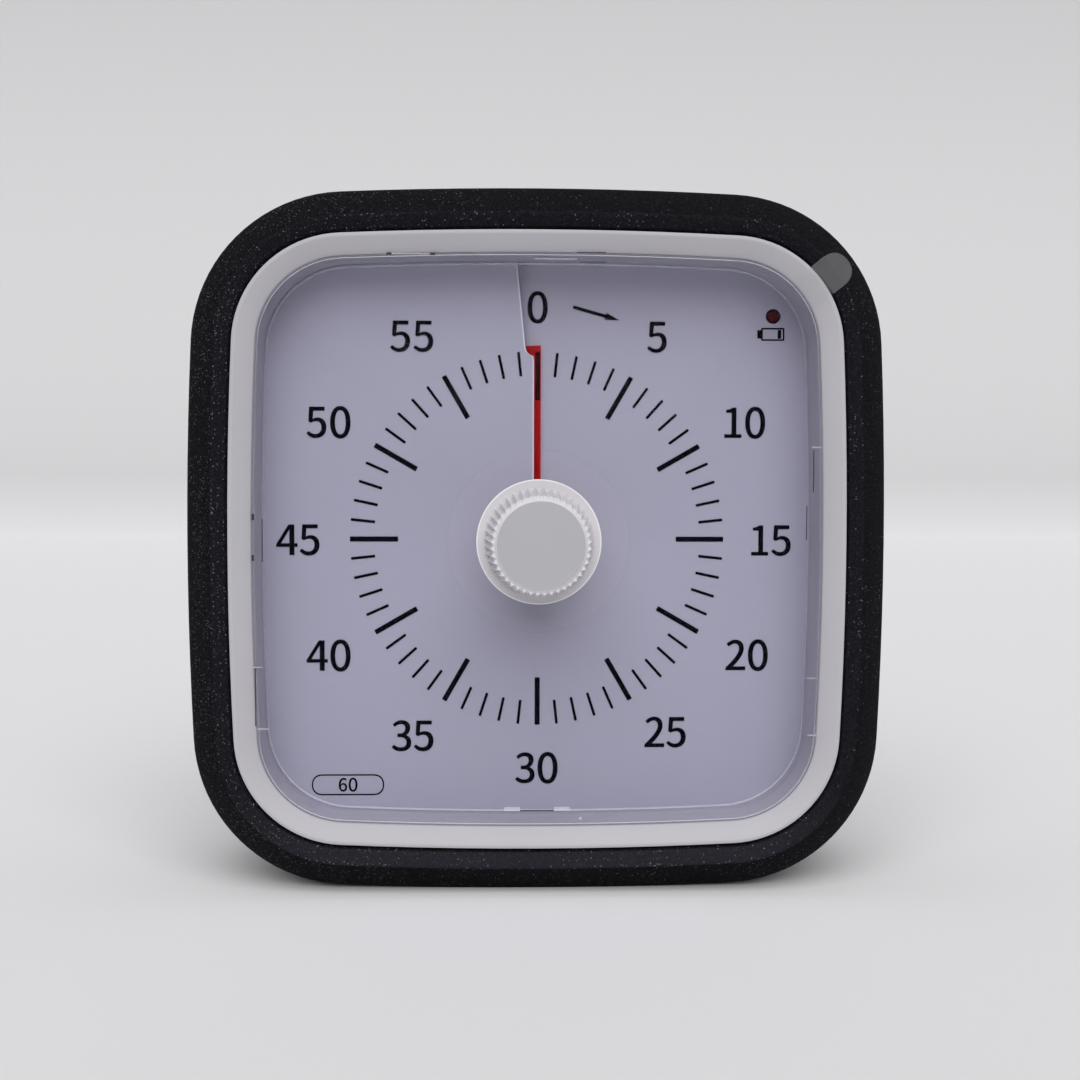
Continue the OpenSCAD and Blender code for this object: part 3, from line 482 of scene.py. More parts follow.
def opaque(name, colour, roughness, ior=1.5, metallic=0, patch=0.04, bump_mm=0.3, bump=0.02,
           **more):
    """An opaque surface: a faint drift of tone over it, and the fine texture of how it was made.

    The texture is drawn coarser than the real one, so that it shows.
    """
    material, tree, out = blank(name)
    where = node(tree, "TexCoord").outputs["Object"]
    drift = node(tree, "TexNoise", {"Vector": where, "Scale": scale_for(12)})
    base = linear(colour)[:3]
    tone = node(tree, "Mix", {
        0: drift.outputs["Fac"],
        6: (*[c * (1 - patch) for c in base], 1),
        7: (*[min(1, c * (1 + patch)) for c in base], 1),
    }, data_type="RGBA")
    fine = node(tree, "TexNoise", {"Vector": where, "Scale": scale_for(bump_mm), "Detail": 4})
    texture = node(tree, "Bump", {
        "Height": fine.outputs["Fac"], "Strength": 0.5, "Distance": bump * MM,
    })
    shader = node(tree, "BsdfPrincipled", {
        "Base Color": tone.outputs[2], "Roughness": roughness, "IOR": ior, "Metallic": metallic,
        "Normal": texture.outputs["Normal"], **more,
    })
    tree.links.new(shader.outputs[0], out.inputs["Surface"])
    return material


def silicone_rubber():
    """Silicone rubber, moulded in a blasted tool: dull black, with the light dust it attracts, and
    painted light that makes the lip lighter than the sloping outside and lighter still low down.
    """
    material, tree, out = blank("silicone_rubber_moulded")
    coords = node(tree, "TexCoord")
    where = coords.outputs["Object"]
    place = node(tree, "SeparateXYZ", {"Vector": where})
    # fine specks of dust, each in a cell of its own
    cells = node(tree, "TexVoronoi", {"Vector": where, "Scale": scale_for(0.24)})
    spot = node(tree, "MapRange", {
        "Value": cells.outputs["Distance"], "From Min": 0.1, "From Max": 0.4,
        "To Min": 1, "To Max": 0,
    })
    lot = node(tree, "SeparateColor", {"Color": cells.outputs["Color"]})
    # they lie in patches, more of them towards the left
    left = node(tree, "MapRange", {
        "Value": place.outputs["X"], "From Min": -42 * MM, "From Max": 5 * MM,
        "To Min": 0.3, "To Max": -0.02,
    })
    patches = node(tree, "TexNoise", {"Vector": where, "Scale": scale_for(11), "Detail": 3})
    dense = node(tree, "Math", {0: patches.outputs["Fac"], 1: left.outputs[0]}, operation="ADD")
    bar = node(tree, "MapRange", {
        "Value": dense.outputs[0], "From Min": 0.45, "From Max": 0.85,
        "To Min": 0.95, "To Max": 0.2,
    })
    chosen = node(tree, "Math", {0: lot.outputs["Red"], 1: bar.outputs[0]},
                  operation="GREATER_THAN")
    strength = node(tree, "Math", {0: lot.outputs["Green"], 1: 4}, operation="POWER")
    shown = node(tree, "Math", {0: spot.outputs[0], 1: chosen.outputs[0]}, operation="MULTIPLY")
    speck = node(tree, "Math", {0: shown.outputs[0], 1: strength.outputs[0]},
                 operation="MULTIPLY")
    # painted light: the lip, which looks straight ahead, is painted lighter than the sloping
    # outside
    facing = node(tree, "SeparateXYZ", {"Vector": coords.outputs["Normal"]})
    lip = node(tree, "MapRange", {
        "Value": facing.outputs["Y"], "From Min": -0.9, "From Max": -0.76,
        "To Min": 1, "To Max": 0,
    })
    # a veil of finer dust in scuffs, and painted light that makes the lip lighter still low down,
    # where it faces up
    scuffs = node(tree, "TexNoise", {"Vector": where, "Scale": scale_for(0.3), "Detail": 6})
    film = node(tree, "MapRange", {
        "Value": scuffs.outputs["Fac"], "From Min": 0.45, "From Max": 0.75,
        "To Min": 0, "To Max": 0.5,
    })
    low = node(tree, "MapRange", {
        "Value": place.outputs["Z"], "From Min": 4 * MM, "From Max": 14 * MM,
        "To Min": 0.5, "To Max": 0,
    })
    painted_light_low = node(tree, "Math", {0: low.outputs[0], 1: lip.outputs[0]}, operation="MULTIPLY")
    veil = node(tree, "Math", {0: film.outputs[0], 1: painted_light_low.outputs[0]}, operation="ADD")
    painted_lip_tone = node(tree, "Mix", {0: lip.outputs[0], 6: linear("#07070a"), 7: linear("#141419")},
                data_type="RGBA")
    rubber = node(tree, "Mix", {0: veil.outputs[0], 6: painted_lip_tone.outputs[2], 7: linear("#2b2c32")},
                  data_type="RGBA")
    dusty = node(tree, "Mix", {0: speck.outputs[0], 6: rubber.outputs[2], 7: linear("#8a8b93")},
                 data_type="RGBA")
    # the blasted texture, drawn coarser than the real one, so that it shows
    blasted = node(tree, "TexNoise", {"Vector": where, "Scale": scale_for(0.25), "Detail": 3})
    texture = node(tree, "Bump", {
        "Height": blasted.outputs["Fac"], "Strength": 0.6, "Distance": 0.03 * MM,
    })
    shader = node(tree, "BsdfPrincipled", {
        "Base Color": dusty.outputs[2], "Roughness": 0.7, "IOR": 1.41, "Specular IOR Level": 0.06,
        "Normal": texture.outputs["Normal"],
    })
    tree.links.new(shader.outputs[0], out.inputs["Surface"])
    return material


def clear_sheet(name, tint, roughness, haze, haze_colour, gloss, edge_gloss=0.5, clear_within=0,
                fade=0.6, least=0.05, across=1):
    """A clear sheet: light passes straight on, with gloss that grows at a slant and a little haze.

    Nearer to the dial's middle than clear_within only the least share of the haze is left, and
    it fades in over a length. With across at 0 only the height over or under the middle counts.
    """
    material, tree, out = blank(name)
    where = node(tree, "TexCoord").outputs["Object"]
    through = node(tree, "BsdfTransparent", {"Color": linear(tint)})
    veil = node(tree, "BsdfDiffuse", {"Color": linear(haze_colour)})
    clouds = node(tree, "TexNoise", {"Vector": where, "Scale": scale_for(9), "Detail": 3})
    mist = node(tree, "MapRange", {
        "Value": clouds.outputs["Fac"], "To Min": haze * 0.8, "To Max": haze * 1.2,
    })
    if clear_within:
        centred = node(tree, "VectorMath", {0: where, 1: (0, 0, -CENTRE_Z * MM)}, operation="ADD")
        flat = node(tree, "VectorMath", {0: centred.outputs[0], 1: (across, 0, 1)},
                    operation="MULTIPLY")
        away = node(tree, "VectorMath", {0: flat.outputs[0]}, operation="LENGTH")
        left = node(tree, "MapRange", {
            "Value": away.outputs["Value"], "From Min": (clear_within - fade) * MM,
            "From Max": clear_within * MM, "To Min": least,
        })
        mist = node(tree, "Math", {0: mist.outputs[0], 1: left.outputs[0]}, operation="MULTIPLY")
    body = node(tree, "MixShader", {0: mist.outputs[0], 1: through.outputs[0], 2: veil.outputs[0]})
    shine = node(tree, "BsdfGlossy", {"Roughness": roughness})
    slant = node(tree, "LayerWeight", {"Blend": 0.5})
    steep = node(tree, "Math", {0: slant.outputs["Facing"], 1: 5}, operation="POWER")
    amount = node(tree, "MapRange", {
        "Value": steep.outputs[0], "To Min": gloss, "To Max": edge_gloss,
    })
    face = node(tree, "MixShader", {0: amount.outputs[0], 1: body.outputs[0], 2: shine.outputs[0]})
    tree.links.new(face.outputs[0], out.inputs["Surface"])
    return material


def dyed_film():
    """Red vinyl film, cast: bright red that still lets dark print under it show."""
    material, tree, out = blank("vinyl_film_cast")
    where = node(tree, "TexCoord").outputs["Object"]
    tint = node(tree, "BsdfTransparent", {"Color": linear("#fe9496")})
    drift = node(tree, "TexNoise", {"Vector": where, "Scale": scale_for(8)})
    tone = node(tree, "Mix", {
        0: drift.outputs["Fac"], 6: linear("#c41417"), 7: linear("#d4181a"),
    }, data_type="RGBA")
    face = node(tree, "BsdfPrincipled", {
        "Base Color": tone.outputs[2], "Roughness": 0.45, "Specular IOR Level": 0.2,
    })
    both = node(tree, "MixShader", {0: 0.025, 1: tint.outputs[0], 2: face.outputs[0]})
    tree.links.new(both.outputs[0], out.inputs["Surface"])
    return material


def backdrop_sheet():
    """Paper sheet, coated: white where things stand on it, greyer where it turns up behind."""
    material, tree, out = blank("paper_sheet_coated")
    facing = node(tree, "SeparateXYZ", {"Vector": node(tree, "TexCoord").outputs["Normal"]})
    rise = node(tree, "MapRange", {"Value": facing.outputs["Y"], "From Min": 0, "From Max": -0.36})
    tone = node(tree, "Mix", {0: rise.outputs[0], 6: linear("#f1f1f2"), 7: linear("#d0d0d1")},
                data_type="RGBA")
    shader = node(tree, "BsdfPrincipled", {"Base Color": tone.outputs[2], "Roughness": 0.9})
    tree.links.new(shader.outputs[0], out.inputs["Surface"])
    return material


LITTLE_SHINE = {"Specular IOR Level": 0.1}
NO_SHINE = {"Specular IOR Level": 0.02}

# finishes by the record's material slots
FINISH = {
    "silicone": silicone_rubber(),
    # ABS, moulded in a fine sparked tool: white with a soft sheen
    "bezel_white": opaque("abs_bezel_moulded", "#b5b3b8", 0.6, 1.52, bump_mm=0.2, bump=0.012),
    # ABS, moulded in a coarser tool: a clearer grain than the bezel's
    "housing_white": opaque("abs_housing_moulded", "#c9c7c9", 0.55, 1.52),
    # polystyrene, moulded in a polished tool: glossy and clear
    "clear_plastic": clear_sheet("polystyrene_polished", "#fcfcfe", 0.03, 0.0006, "#e6e6f0",
                                 0.0015, 0.25),
    # polyethylene film, blown: thin, a softer gloss
    "film_plastic": clear_sheet("polyethylene_film_blown", "#fefeff", 0.15, 0.0005, "#e8e8ec",
                                0.001),
    # ABS, moulded in a polished tool: clean white, glossier than the bezel
    "knob_white": opaque("abs_knob_moulded", "#dad7db", 0.4, 1.52, bump=0.004),
    # PVC sheet, calendered: lavender white, dull
    "dial_sheet": opaque("pvc_sheet_calendered", "#a8a6b2", 0.6, 1.53, patch=0.015, bump=0.004),
    "red_film": dyed_film(),
    # ABS, moulded, for parts that aren't seen in use: plain light grey
    "inner_plastic": opaque("abs_inner_moulded", "#d0d0d6", 0.5, 1.52),
    # acetal, moulded: waxy off-white
    "gear_plastic": opaque("acetal_gear_moulded", "#e6dfc9", 0.35, 1.48, bump=0.004),
    # low carbon steel, zinc plated: bright grey metal
    "steel": opaque("steel_zinc_plated", "#b9bbc0", 0.3, metallic=1, bump_mm=0.15, bump=0.004),
    # brass, stamped: yellow metal
    "brass": opaque("brass_stamped", "#c9a35a", 0.32, metallic=1, bump_mm=0.15, bump=0.004),
    # copper wire, enamelled: orange brown with gloss
    "copper_wire": opaque("copper_wire_enamelled", "#b5642a", 0.25, metallic=0.9, bump_mm=0.2),
    # glass fibre board, printed with solder mask: dark green with a sheen, uneven over the copper
    "board_green": opaque("fibreglass_solder_mask", "#2c6443", 0.4, patch=0.1),
    # ABS, moulded: black with a dull sheen
    "black_plastic": opaque("abs_black_moulded", "#232427", 0.45, 1.52),
    # epoxy, cast and dyed: dark red with gloss
    "lamp_red": opaque("epoxy_lamp_cast", "#47070d", 0.25, 1.54, patch=0.1, bump=0.002,
                       **LITTLE_SHINE),
    # PVC jacket, printed and shrunk on a steel can: green with gloss
    "cell_jacket": opaque("pvc_jacket_shrunk", "#2c7a50", 0.3, 1.53, patch=0.06),
    # PVC insulation, extruded: red with a sheen
    "wire_red": opaque("pvc_wire_extruded", "#b81f1f", 0.4, 1.53),
}
# screen ink, printed and dried: nearly black, flat
INK = opaque("ink_screen_printed", "#02020c", 0.7, patch=0.1, bump=0.001, **NO_SHINE)
# ABS, glossy: a painted highlight, the flange rim's light band, brighter than the rest of the knob
KNOB_RIM_HIGHLIGHT = opaque("painted_knob_rim_highlight", "#f2f0f2", 0.3, 1.52, bump=0.001)
# ABS, moulded in a matt tool: the knob's face, rougher than its sides and painted darker, as
# painted shade
KNOB_FACE_SHADE = opaque("abs_knob_face_painted_shade", "#acabb0", 0.6, 1.52, bump_mm=0.2, bump=0.006)
# polyethylene film, cut: a faint grey line round the knob, a painted highlight of the hole's edge,
# stronger above and below the knob than beside it
HOLE_EDGE_HIGHLIGHT = clear_sheet("painted_film_edge_highlight", "#fcfcfe", 0.2, 0.07, "#c4c3cc", 0.002,
                          clear_within=16, fade=20, least=0.2, across=0)
# painted light at the slit: a pale strip of painted highlight along the upper sheet's cut edge, and
# a dark strip of painted shade beside it
SLIT_EDGE_HIGHLIGHT = opaque("painted_slit_highlight", "#d6d4dc", 0.5, 1.53, bump=0.001)
SLIT_EDGE_SHADE = opaque("painted_slit_shade", "#7b7985", 0.7, 1.53, bump=0.001)
# polyethylene film, pinched: the tab is clear on the bezel and milky further out
TAB_FINISH = clear_sheet("polyethylene_tab_milky", "#fefefe", 0.25, 0.08, "#dcdcdd", 0.002,
                         clear_within=49.7)
# painted highlights: pale haze on the cover's moulded edges and clips, for the light that the clear
# plastic gathers there; on the edges it is strongest at top and bottom
COVER_EDGE_HIGHLIGHT = clear_sheet("painted_cover_edge_highlight", "#fcfcfe", 0.2, 0.34, "#f4f4fa", 0.002,
                          clear_within=35, fade=12, least=0.2, across=0)
CLIP_HIGHLIGHT = clear_sheet("painted_clip_edge_highlight", "#fcfcfe", 0.2, 0.22, "#f8f8fc", 0.01)
# painted shade: grey and dark strips for the shade down in the narrow gap round the cover and in
# the slots beside its clips
GAP_SHADE = opaque("painted_gap_shade", "#8b888e", 0.8)
SLOT_SHADE = opaque("painted_slot_shade", "#2b2930", 0.8)


# ---------- sleeve, bezel, cover and film ----------


def silicone_sleeve():
    """Sleeve with a lip round the bezel and another round the back, cut flat at its base."""
    front, back = SHOULDER_Z + SLEEVE_PLAY, BACK_Z - SLEEVE_PLAY
    section = [
        (SLEEVE_FRONT, CREST_Z - 0.7), (SLEEVE_FRONT, front), (SLEEVE_WALL, front),
        (SLEEVE_WALL, back), (SLEEVE_BACK, back), (SLEEVE_BACK, SLEEVE_BACK_Z),
        (2.5, SLEEVE_BACK_Z), (0, BACK_Z + 1.5), (0, CREST_Z - 4.4), (CREST_IN, CREST_Z),
    ]
    rounding = [(0, 0.3, 3), (5, 0.4, 3), (6, 1.2, 4), (7, 1.2, 4), (8, 0.9, 5), (9, 0.3, 3)]
    obj = swept("sleeve", section, rounding)
    edit(obj)
    bpy.ops.mesh.select_all(action="SELECT")
    bpy.ops.mesh.bisect(plane_co=(0, -CENTRE_Z, 0), plane_no=(0, 1, 0), use_fill=True,
                        clear_inner=True)
    close()
    # the base keeps its level, but the lip's inner edge meets the bezel there too
    flatter(obj, UPPER, 1)
    flatter(obj, 1, LOWER, SHOULDER_Z + 0.1, CREST_Z - 0.35)
    settle(obj, "case", FINISH["silicone"], "silicone", "silicone_sleeve", angle=25)


def front_housing():
    """Front half of the housing: its wall, the sloping bezel, and the well down to the dial."""
    lip, well, ceiling = SLEEVE_FRONT + 0.1, WINDOW - 1.5, SHOULDER_Z - 1.6
    section = [
        (lip, SHOULDER_Z), (lip, BEZEL_Z + 0.5), (lip + 0.46, BEZEL_Z + 0.54),
        (WINDOW - 0.12, BEZEL_Z - 0.7), (WINDOW, BEZEL_Z - 0.82), (WINDOW, WELL_END_Z),
        (well, WELL_END_Z), (well, ceiling), (CAVITY, ceiling), (CAVITY, SPLIT_Z),
        (HOUSING, SPLIT_Z), (HOUSING, SHOULDER_Z),
    ]
    rounding = [(1, 0.1, 2), (2, 0.12, 2), (3, 0.06, 2), (4, 0.05, 2), (11, 0.4, 2)]
    obj = flatter(swept("front_bezel", section, rounding))
    # the bezel's outer edge is a little less high still
    flatter(obj, 0.998, 0.997, BEZEL_Z)
    settle(obj, "case", FINISH["bezel_white"], "bezel_white", "front_housing", angle=30)


def ring(name, outer, inner, low, high, finish, slot):
    """Thin closed ring round the case, with a square section between two insets."""
    obj = swept(name, [(outer, low), (inner, low), (inner, high), (outer, high)])
    settle(flatter(obj), "case", finish, slot)


# thin marks where clips and slots show through the cover, pale ones painted highlights and dark
# ones painted shade: x and y limits, pale or dark
COVER_MARKS = [
    ((-18.94, -14.02), (36.84, 36.95), "pale"), ((-19.58, -18.94), (36.72, 37.03), "dark"),
    ((-14.02, -13.38), (36.72, 37.03), "dark"), ((-0.55, 4.85), (36.28, 36.4), "pale"),
    ((4.84, 8.58), (37.12, 37.24), "dark"), ((5.23, 8.58), (35.93, 36.02), "dark"),
    ((-2.34, 2.1), (-35.26, -35.12), "dark"), ((-4.43, -2.34), (-35.2, -34.7), "pale"),
    ((2.1, 4.19), (-35.2, -34.7), "pale"), ((5.37, 5.77), (-36.4, -36.06), "pale"),
    ((-36.98, -36.66), (2.71, 3.48), "dark"), ((-37, -36.7), (-2.58, -1.8), "dark"),
    ((-35.69, -35.57), (-2.71, 2.84), "dark"), ((35.5, 36.81), (12.22, 12.37), "pale"),
    ((35.68, 35.82), (6.48, 11.93), "dark"), ((34.85, 34.97), (0.23, 4.66), "dark"),
    ((35.16, 36.35), (-17.93, -17.8), "pale"), ((35.31, 36.49), (-25.48, -25.3), "pale"),
    ((-36.65, -36.52), (-23.98, -16.44), "dark"), ((-36.44, -34.89), (-24.46, -24.3), "pale"),
    ((-36.9, -35.75), (-16.42, -16.28), "pale"),
]


def cover_edges():
    """Painted highlights on the cover's edges and clips, and painted shade in the narrow gap round
    it and in the slots beside the clips.
    """
    low, high = COVER_Z, COVER_Z + TRACE_T
    # thin rings of painted highlight on the cover's foot and rim
    ring("cover_foot_highlight", 9.2, 9.4, 1.1, 1.3, COVER_EDGE_HIGHLIGHT, "clear_plastic")
    ring("cover_rim_highlight", 9.2, 9.3, low, high, COVER_EDGE_HIGHLIGHT, "clear_plastic")
    # a thin ring of painted shade down in the gap round the cover
    ring("cover_gap_shade", WINDOW + 0.02, WINDOW + 0.12, 8, 8.1, GAP_SHADE, "bezel_white")
    for tone, finish in (("pale", CLIP_HIGHLIGHT), ("dark", SLOT_SHADE)):
        marks = [plate("mark", [(left, foot), (right, foot), (right, top), (left, top)], low, high)
                 for (left, right), (foot, top), kind in COVER_MARKS if kind == tone]
        settle(join("cover_clips_painted_" + tone, *marks), "case", finish, "clear_plastic")


def clear_cover():
    """Clear cover: a plate with a hole for the knob and a skirt down to the dial."""
    obj = flatter(case_plate("cover_shell", COVER_IN, SKIRT_END, COVER_Z))
    edit(obj)
    pick("FACE", lambda f: f.normal.z < -0.9)
    bpy.ops.mesh.inset(thickness=SKIRT_T, use_even_offset=True)
    move(z=COVER_Z - COVER_T - SKIRT_END)
    done()
    cut(obj, drum("hole", COVER_HOLE_R, COVER_Z - 3, COVER_Z + 1))
    soften(obj, 0.2, 50)
    settle(obj, "case", FINISH["clear_plastic"], "clear_plastic", "clear_cover", angle=30)


def protective_film():
    """Film on the cover with a hole for the knob, and a painted highlight along the hole's edge."""
    top = FILM_Z + FILM_T
    obj = flatter(case_plate("film_sheet", FILM_IN, FILM_Z, top))
    cut(obj, drum("hole", FILM_HOLE_R, FILM_Z - 1, FILM_Z + 1, 96))
    settle(obj, "case", FINISH["film_plastic"], "film_plastic", "protective_film")
    # a thin ring of painted highlight along the hole's edge
    edge = washer("film_hole_edge", FILM_HOLE_R, FILM_HOLE_R + 0.07, top, top + TRACE_T / 2, 128)
    settle(edge, "case", HOLE_EDGE_HIGHLIGHT, "film_plastic")


# the tab's start lies in this direction from the corner's centre, and it points in that one
TAB_AT_ANGLE, TAB_TURN = 35, 39
TAB_HALF_W, TAB_FROM, TAB_TO, TAB_STEPS = 2.25, -1, 8, 24
# heights of the tab over the film, at distances along it
TAB_RISE = [(-1, 0.02), (1, 0.02), (2.2, 0.4), (3.6, 0.98), (5, 1.4), (6, 1.72), (8, 1.8)]


def film_tab():
    """Pull tab with a round end, stuck on the film's corner and rising over bezel and sleeve."""
    side, bend_at = TAB_HALF_W, TAB_TO - TAB_HALF_W
    path = [(TAB_FROM, -side), (bend_at, -side), ((TAB_TO, -side), (TAB_TO, 0)),
            ((TAB_TO, side), (bend_at, side)), (TAB_FROM, side)]
    obj = closed_line("film_tab", [(x, y, 0) for x, y in outline(path)])
    bpy.ops.mesh.edge_face_add()
    step = (TAB_TO - TAB_FROM) / TAB_STEPS
    for k in range(1, TAB_STEPS):
        bpy.ops.mesh.select_all(action="SELECT")
        bpy.ops.mesh.bisect(plane_co=(TAB_FROM + k * step, 0, 0), plane_no=(1, 0, 0))
    # the round end has points between the cuts, so the heights are set in half steps
    for k in range(2 * TAB_STEPS + 1):
        along = TAB_FROM + k * step / 2
        pick("VERT", lambda v: -step / 4 <= v.co.x - along < step / 4)
        if bpy.context.edit_object.data.total_vert_sel:
            move(z=between(TAB_RISE, along))
    close()
    modify(obj, "SOLIDIFY", thickness=FILM_T, offset=1)
    x, y = polar(CORNER_R - FILM_IN - 1, 90 - TAB_AT_ANGLE)
    obj.matrix_world = (
        Matrix.Translation((CORNER_X + x, CORNER_Y + y, FILM_Z + FILM_T))
        @ Matrix.Rotation(math.radians(TAB_TURN), 4, "Z")
    )
    place_in_mesh(obj)
    settle(obj, "case", TAB_FINISH, "film_plastic", angle=60)


# ---------- knob ----------


def knob():
    """Knob with a dished flange, a ridged grip that narrows to the front, a painted rim highlight,
    and a rougher face painted darker as shade.
    """
    rim, dish = 0.3, GRIP_Z - 0.42
    core = lathe("knob_core", [
        (0, FLANGE_Z), (FLANGE_R - rim, FLANGE_Z), (FLANGE_R, FLANGE_Z + rim),
        (FLANGE_R, GRIP_Z - 0.1), (FLANGE_R - 0.1, GRIP_Z), (FLANGE_R - 0.2, GRIP_Z),
        (GRIP_BASE_R - 0.9, dish), (0, dish)])
    foot, top, shoulder = GRIP_Z - 0.6, KNOB_FRONT_Z - 0.4, 0.35
    bpy.ops.object.select_all(action="DESELECT")
    bpy.ops.mesh.primitive_circle_add(vertices=2 * RIDGES, radius=GRIP_BASE_R, fill_type="NGON",
                                      location=(0, 0, foot))
    grip = bpy.context.object
    place_in_mesh(grip)
    edit(grip)
    half = math.pi / RIDGES
    pick("VERT", lambda v: round((math.atan2(v.co.y, v.co.x) + math.pi) / half) % 2 == 0)
    inner = (GRIP_BASE_R - RIDGE_T) / GRIP_BASE_R
    scale_about_axis(inner, inner)
    bpy.ops.mesh.select_all(action="SELECT")
    narrower = GRIP_FRONT_R / GRIP_BASE_R
    for height, scale in ((top - shoulder - foot, narrower), (shoulder, 0.97)):
        raise_by(height)
        scale_about_axis(scale, scale)
    close()
    front = KNOB_FRONT_Z - 0.02
    cap = lathe("cap", [(0, top - 1), (5.75, top - 1), (6.02, top - 0.42), (5.42, front - 0.03),
                        (5.34, front), (0, front)])
    face = lathe("knob_face", [(0, front - 0.01), (5.38, front - 0.01), (5.34, KNOB_FRONT_Z),
                               (0, KNOB_FRONT_Z)])
    neck = drum("neck", NECK_R, NECK_END_Z, FLANGE_Z + 0.2)
    obj = join("knob_ridged", core, grip, cap, neck)
    settle(obj, "knob", FINISH["knob_white"], "knob_white", "knob", angle=12)
    # a thin ring of painted highlight round the flange's rim
    edge = washer("knob_rim", FLANGE_R - 0.16, FLANGE_R - 0.03, GRIP_Z, GRIP_Z + TRACE_T / 2, 96)
    settle(edge, "knob", KNOB_RIM_HIGHLIGHT, "knob_white")
    # the face, painted darker as painted shade
    settle(face, "knob", KNOB_FACE_SHADE, "knob_white")


# ---------- dial ----------


# the upper sheet's edge: distances from the middle, and how far left of it the edge lies
# there; it steps left outside the ticks
SLIT = [(4, 0.47), (24, 0.47), (24.5, 0.54), (24.65, 0.7), (24.72, 0.88), (24.8, 1.05),
        (24.95, 1.28), (25.2, 1.46), (25.6, 1.6), (26, 1.66), (42, 3.28)]


def dial_sheet():
    """Dial sheet, slit at the top: a ramp whose right end runs under its left end."""
    under, over, steps = -7, 362, 146
    radii = [DIAL_HOLE_R, 16, 24, 30, 38, 49]
    line = [(*polar(r, under), ramp(under)) for r in radii]
    obj = start_point("dial_sheet", *line[0])
    draw(line)
    done()
    turn = over - under
    modify(obj, "SCREW", axis="Z", angle=-math.radians(turn), screw_offset=PITCH * turn / 360,
           steps=steps, render_steps=steps, use_merge_vertices=False)
    modify(obj, "SOLIDIFY", thickness=DIAL_T, offset=0)
    cut(obj, flatter(case_plate("outline", WINDOW + 0.02, -3, 3)), operation="INTERSECT")
    edge = [(-x, r) for r, x in SLIT]
    cut(obj, plate("slit", edge + [(9, 42), (9, 4)], 0.1, 2))
    lamp = box_mid("led")
    cut(obj, drum("lamp_hole", LAMP_HOLE_R, -3, 3, x=lamp.x, y=lamp.y))
    settle(obj, "case", FINISH["dial_sheet"], "dial_sheet", "dial_plate", angle=30)


def slit_edge():
    """Painted light at the upper sheet's cut edge: a pale strip of painted highlight along it, and
    a dark strip of painted shade beside that.
    """
    top = ramp(360) + DIAL_T / 2
    start, end = 6, 36.9
    along = [start] + [r for r, x in SLIT[1:-1]] + [end]
    for name, radii, near, far, finish in (
        ("slit_highlight", along, 0.01, 0.18, SLIT_EDGE_HIGHLIGHT),
        ("slit_shade", [26, end], -0.22, 0, SLIT_EDGE_SHADE),
    ):
        line = [(-between(SLIT, r) - far, r) for r in radii]
        line += [(-between(SLIT, r) - near, r) for r in reversed(radii)]
        settle(plate(name, line, top, top + TRACE_T), "case", finish, "dial_sheet")


def ink(name, points):
    """Layer of ink with a closed outline."""
    return plate(name, points, -INK_T / 2, INK_T / 2)


def clock_of(x, y):
    """Clock angle of a point on the dial."""
    return math.degrees(math.atan2(x, y)) % 360


def set_print(obj, x, y, clock, size=1, turn=0):
    """Lays a print on the dial, at the height that the dial has at a clock angle."""
    obj.matrix_world = (
        Matrix.Translation((x, y, ramp(clock) + INK_Z))
        @ Matrix.Rotation(-math.radians(turn), 4, "Z")
        @ Matrix.Diagonal((size, size, 1, 1))
    )
    place_in_mesh(obj)
    return obj


def rounded(half_w, half_h, r):
    """Outline of a rectangle with round corners, about the origin."""
    points = []
    for sx, sy in ((1, 1), (-1, 1), (-1, -1), (1, -1)):
        arms = [(sx * half_w, sy * (half_h - r)), (sx * (half_w - r), sy * half_h)]
        if sx != sy:
            arms.reverse()
        points += [arms[0]] + bend(arms[0], (sx * half_w, sy * half_h), arms[1], 6)
    return [p for p, q in zip(points, points[1:] + points[:1]) if math.dist(p, q) > 1e-4]


def frame_print(name, half_w, half_h, line, corner):
    """Printed frame: the outline of a rectangle with round corners."""
    obj = ink(name, rounded(half_w, half_h, corner))
    inside = rounded(half_w - line, half_h - line, max(corner - line, 0.02))
    cut(obj, plate("inside", inside, -1, 1))
    return obj


def dial_ticks():
    """The minute ticks, with their corners nipped off."""
    ticks = []
    for width, start, minutes in (
        (MAJOR_W, TICK_MAJOR, range(0, 60, 5)),
        (MINOR_W, TICK_MINOR, [m for m in range(60) if m % 5]),
    ):
        half, nip = width / 2, 0.06
        first = ink("tick", [
            (half, start + nip), (half, TICK_OUTER - nip), (half - nip, TICK_OUTER),
            (nip - half, TICK_OUTER), (-half, TICK_OUTER - nip), (-half, start + nip),
            (nip - half, start), (half - nip, start),
        ])
        ticks += [set_print(copy_of(first), *TICKS_AT, 6 * m, turn=6 * m) for m in minutes]
        bpy.data.objects.remove(first)
    settle(join("dial_ticks", *ticks), "case", INK, "dial_sheet")


# ---------- lettering ----------

# how square the round stretches are: 1 is a quarter of an ellipse
SQUARENESS = 0.9


def bend(start, corner, end, steps=7):
    """Points of a round stretch that leaves start and reaches end along the corner's arms."""
    points = []
    for k in range(1, steps + 1):
        t = math.pi / 2 * k / steps
        a = 1 - math.sin(t) ** SQUARENESS
        b = 1 - abs(math.cos(t)) ** SQUARENESS
        points.append(tuple(c + (s - c) * a + (e - c) * b for s, c, e in zip(start, corner, end)))
    return points


def outline(path):
    """Points of a closed path of corners and of round stretches, which are (corner, end) pairs."""
    points = [path[0]]
    for step in path[1:]:
        points += bend(points[-1], *step) if isinstance(step[0], tuple) else [step]
    if math.dist(points[0], points[-1]) < 1e-4:
        points.pop()
    return points


def oval(x, y, half_w, half_h):
    """Path of an upright oval."""
    right, left, top, foot = x + half_w, x - half_w, y + half_h, y - half_h
    return [(right, y), ((right, top), (x, top)), ((left, top), (left, y)),
            ((left, foot), (x, foot)), ((right, foot), (right, y))]


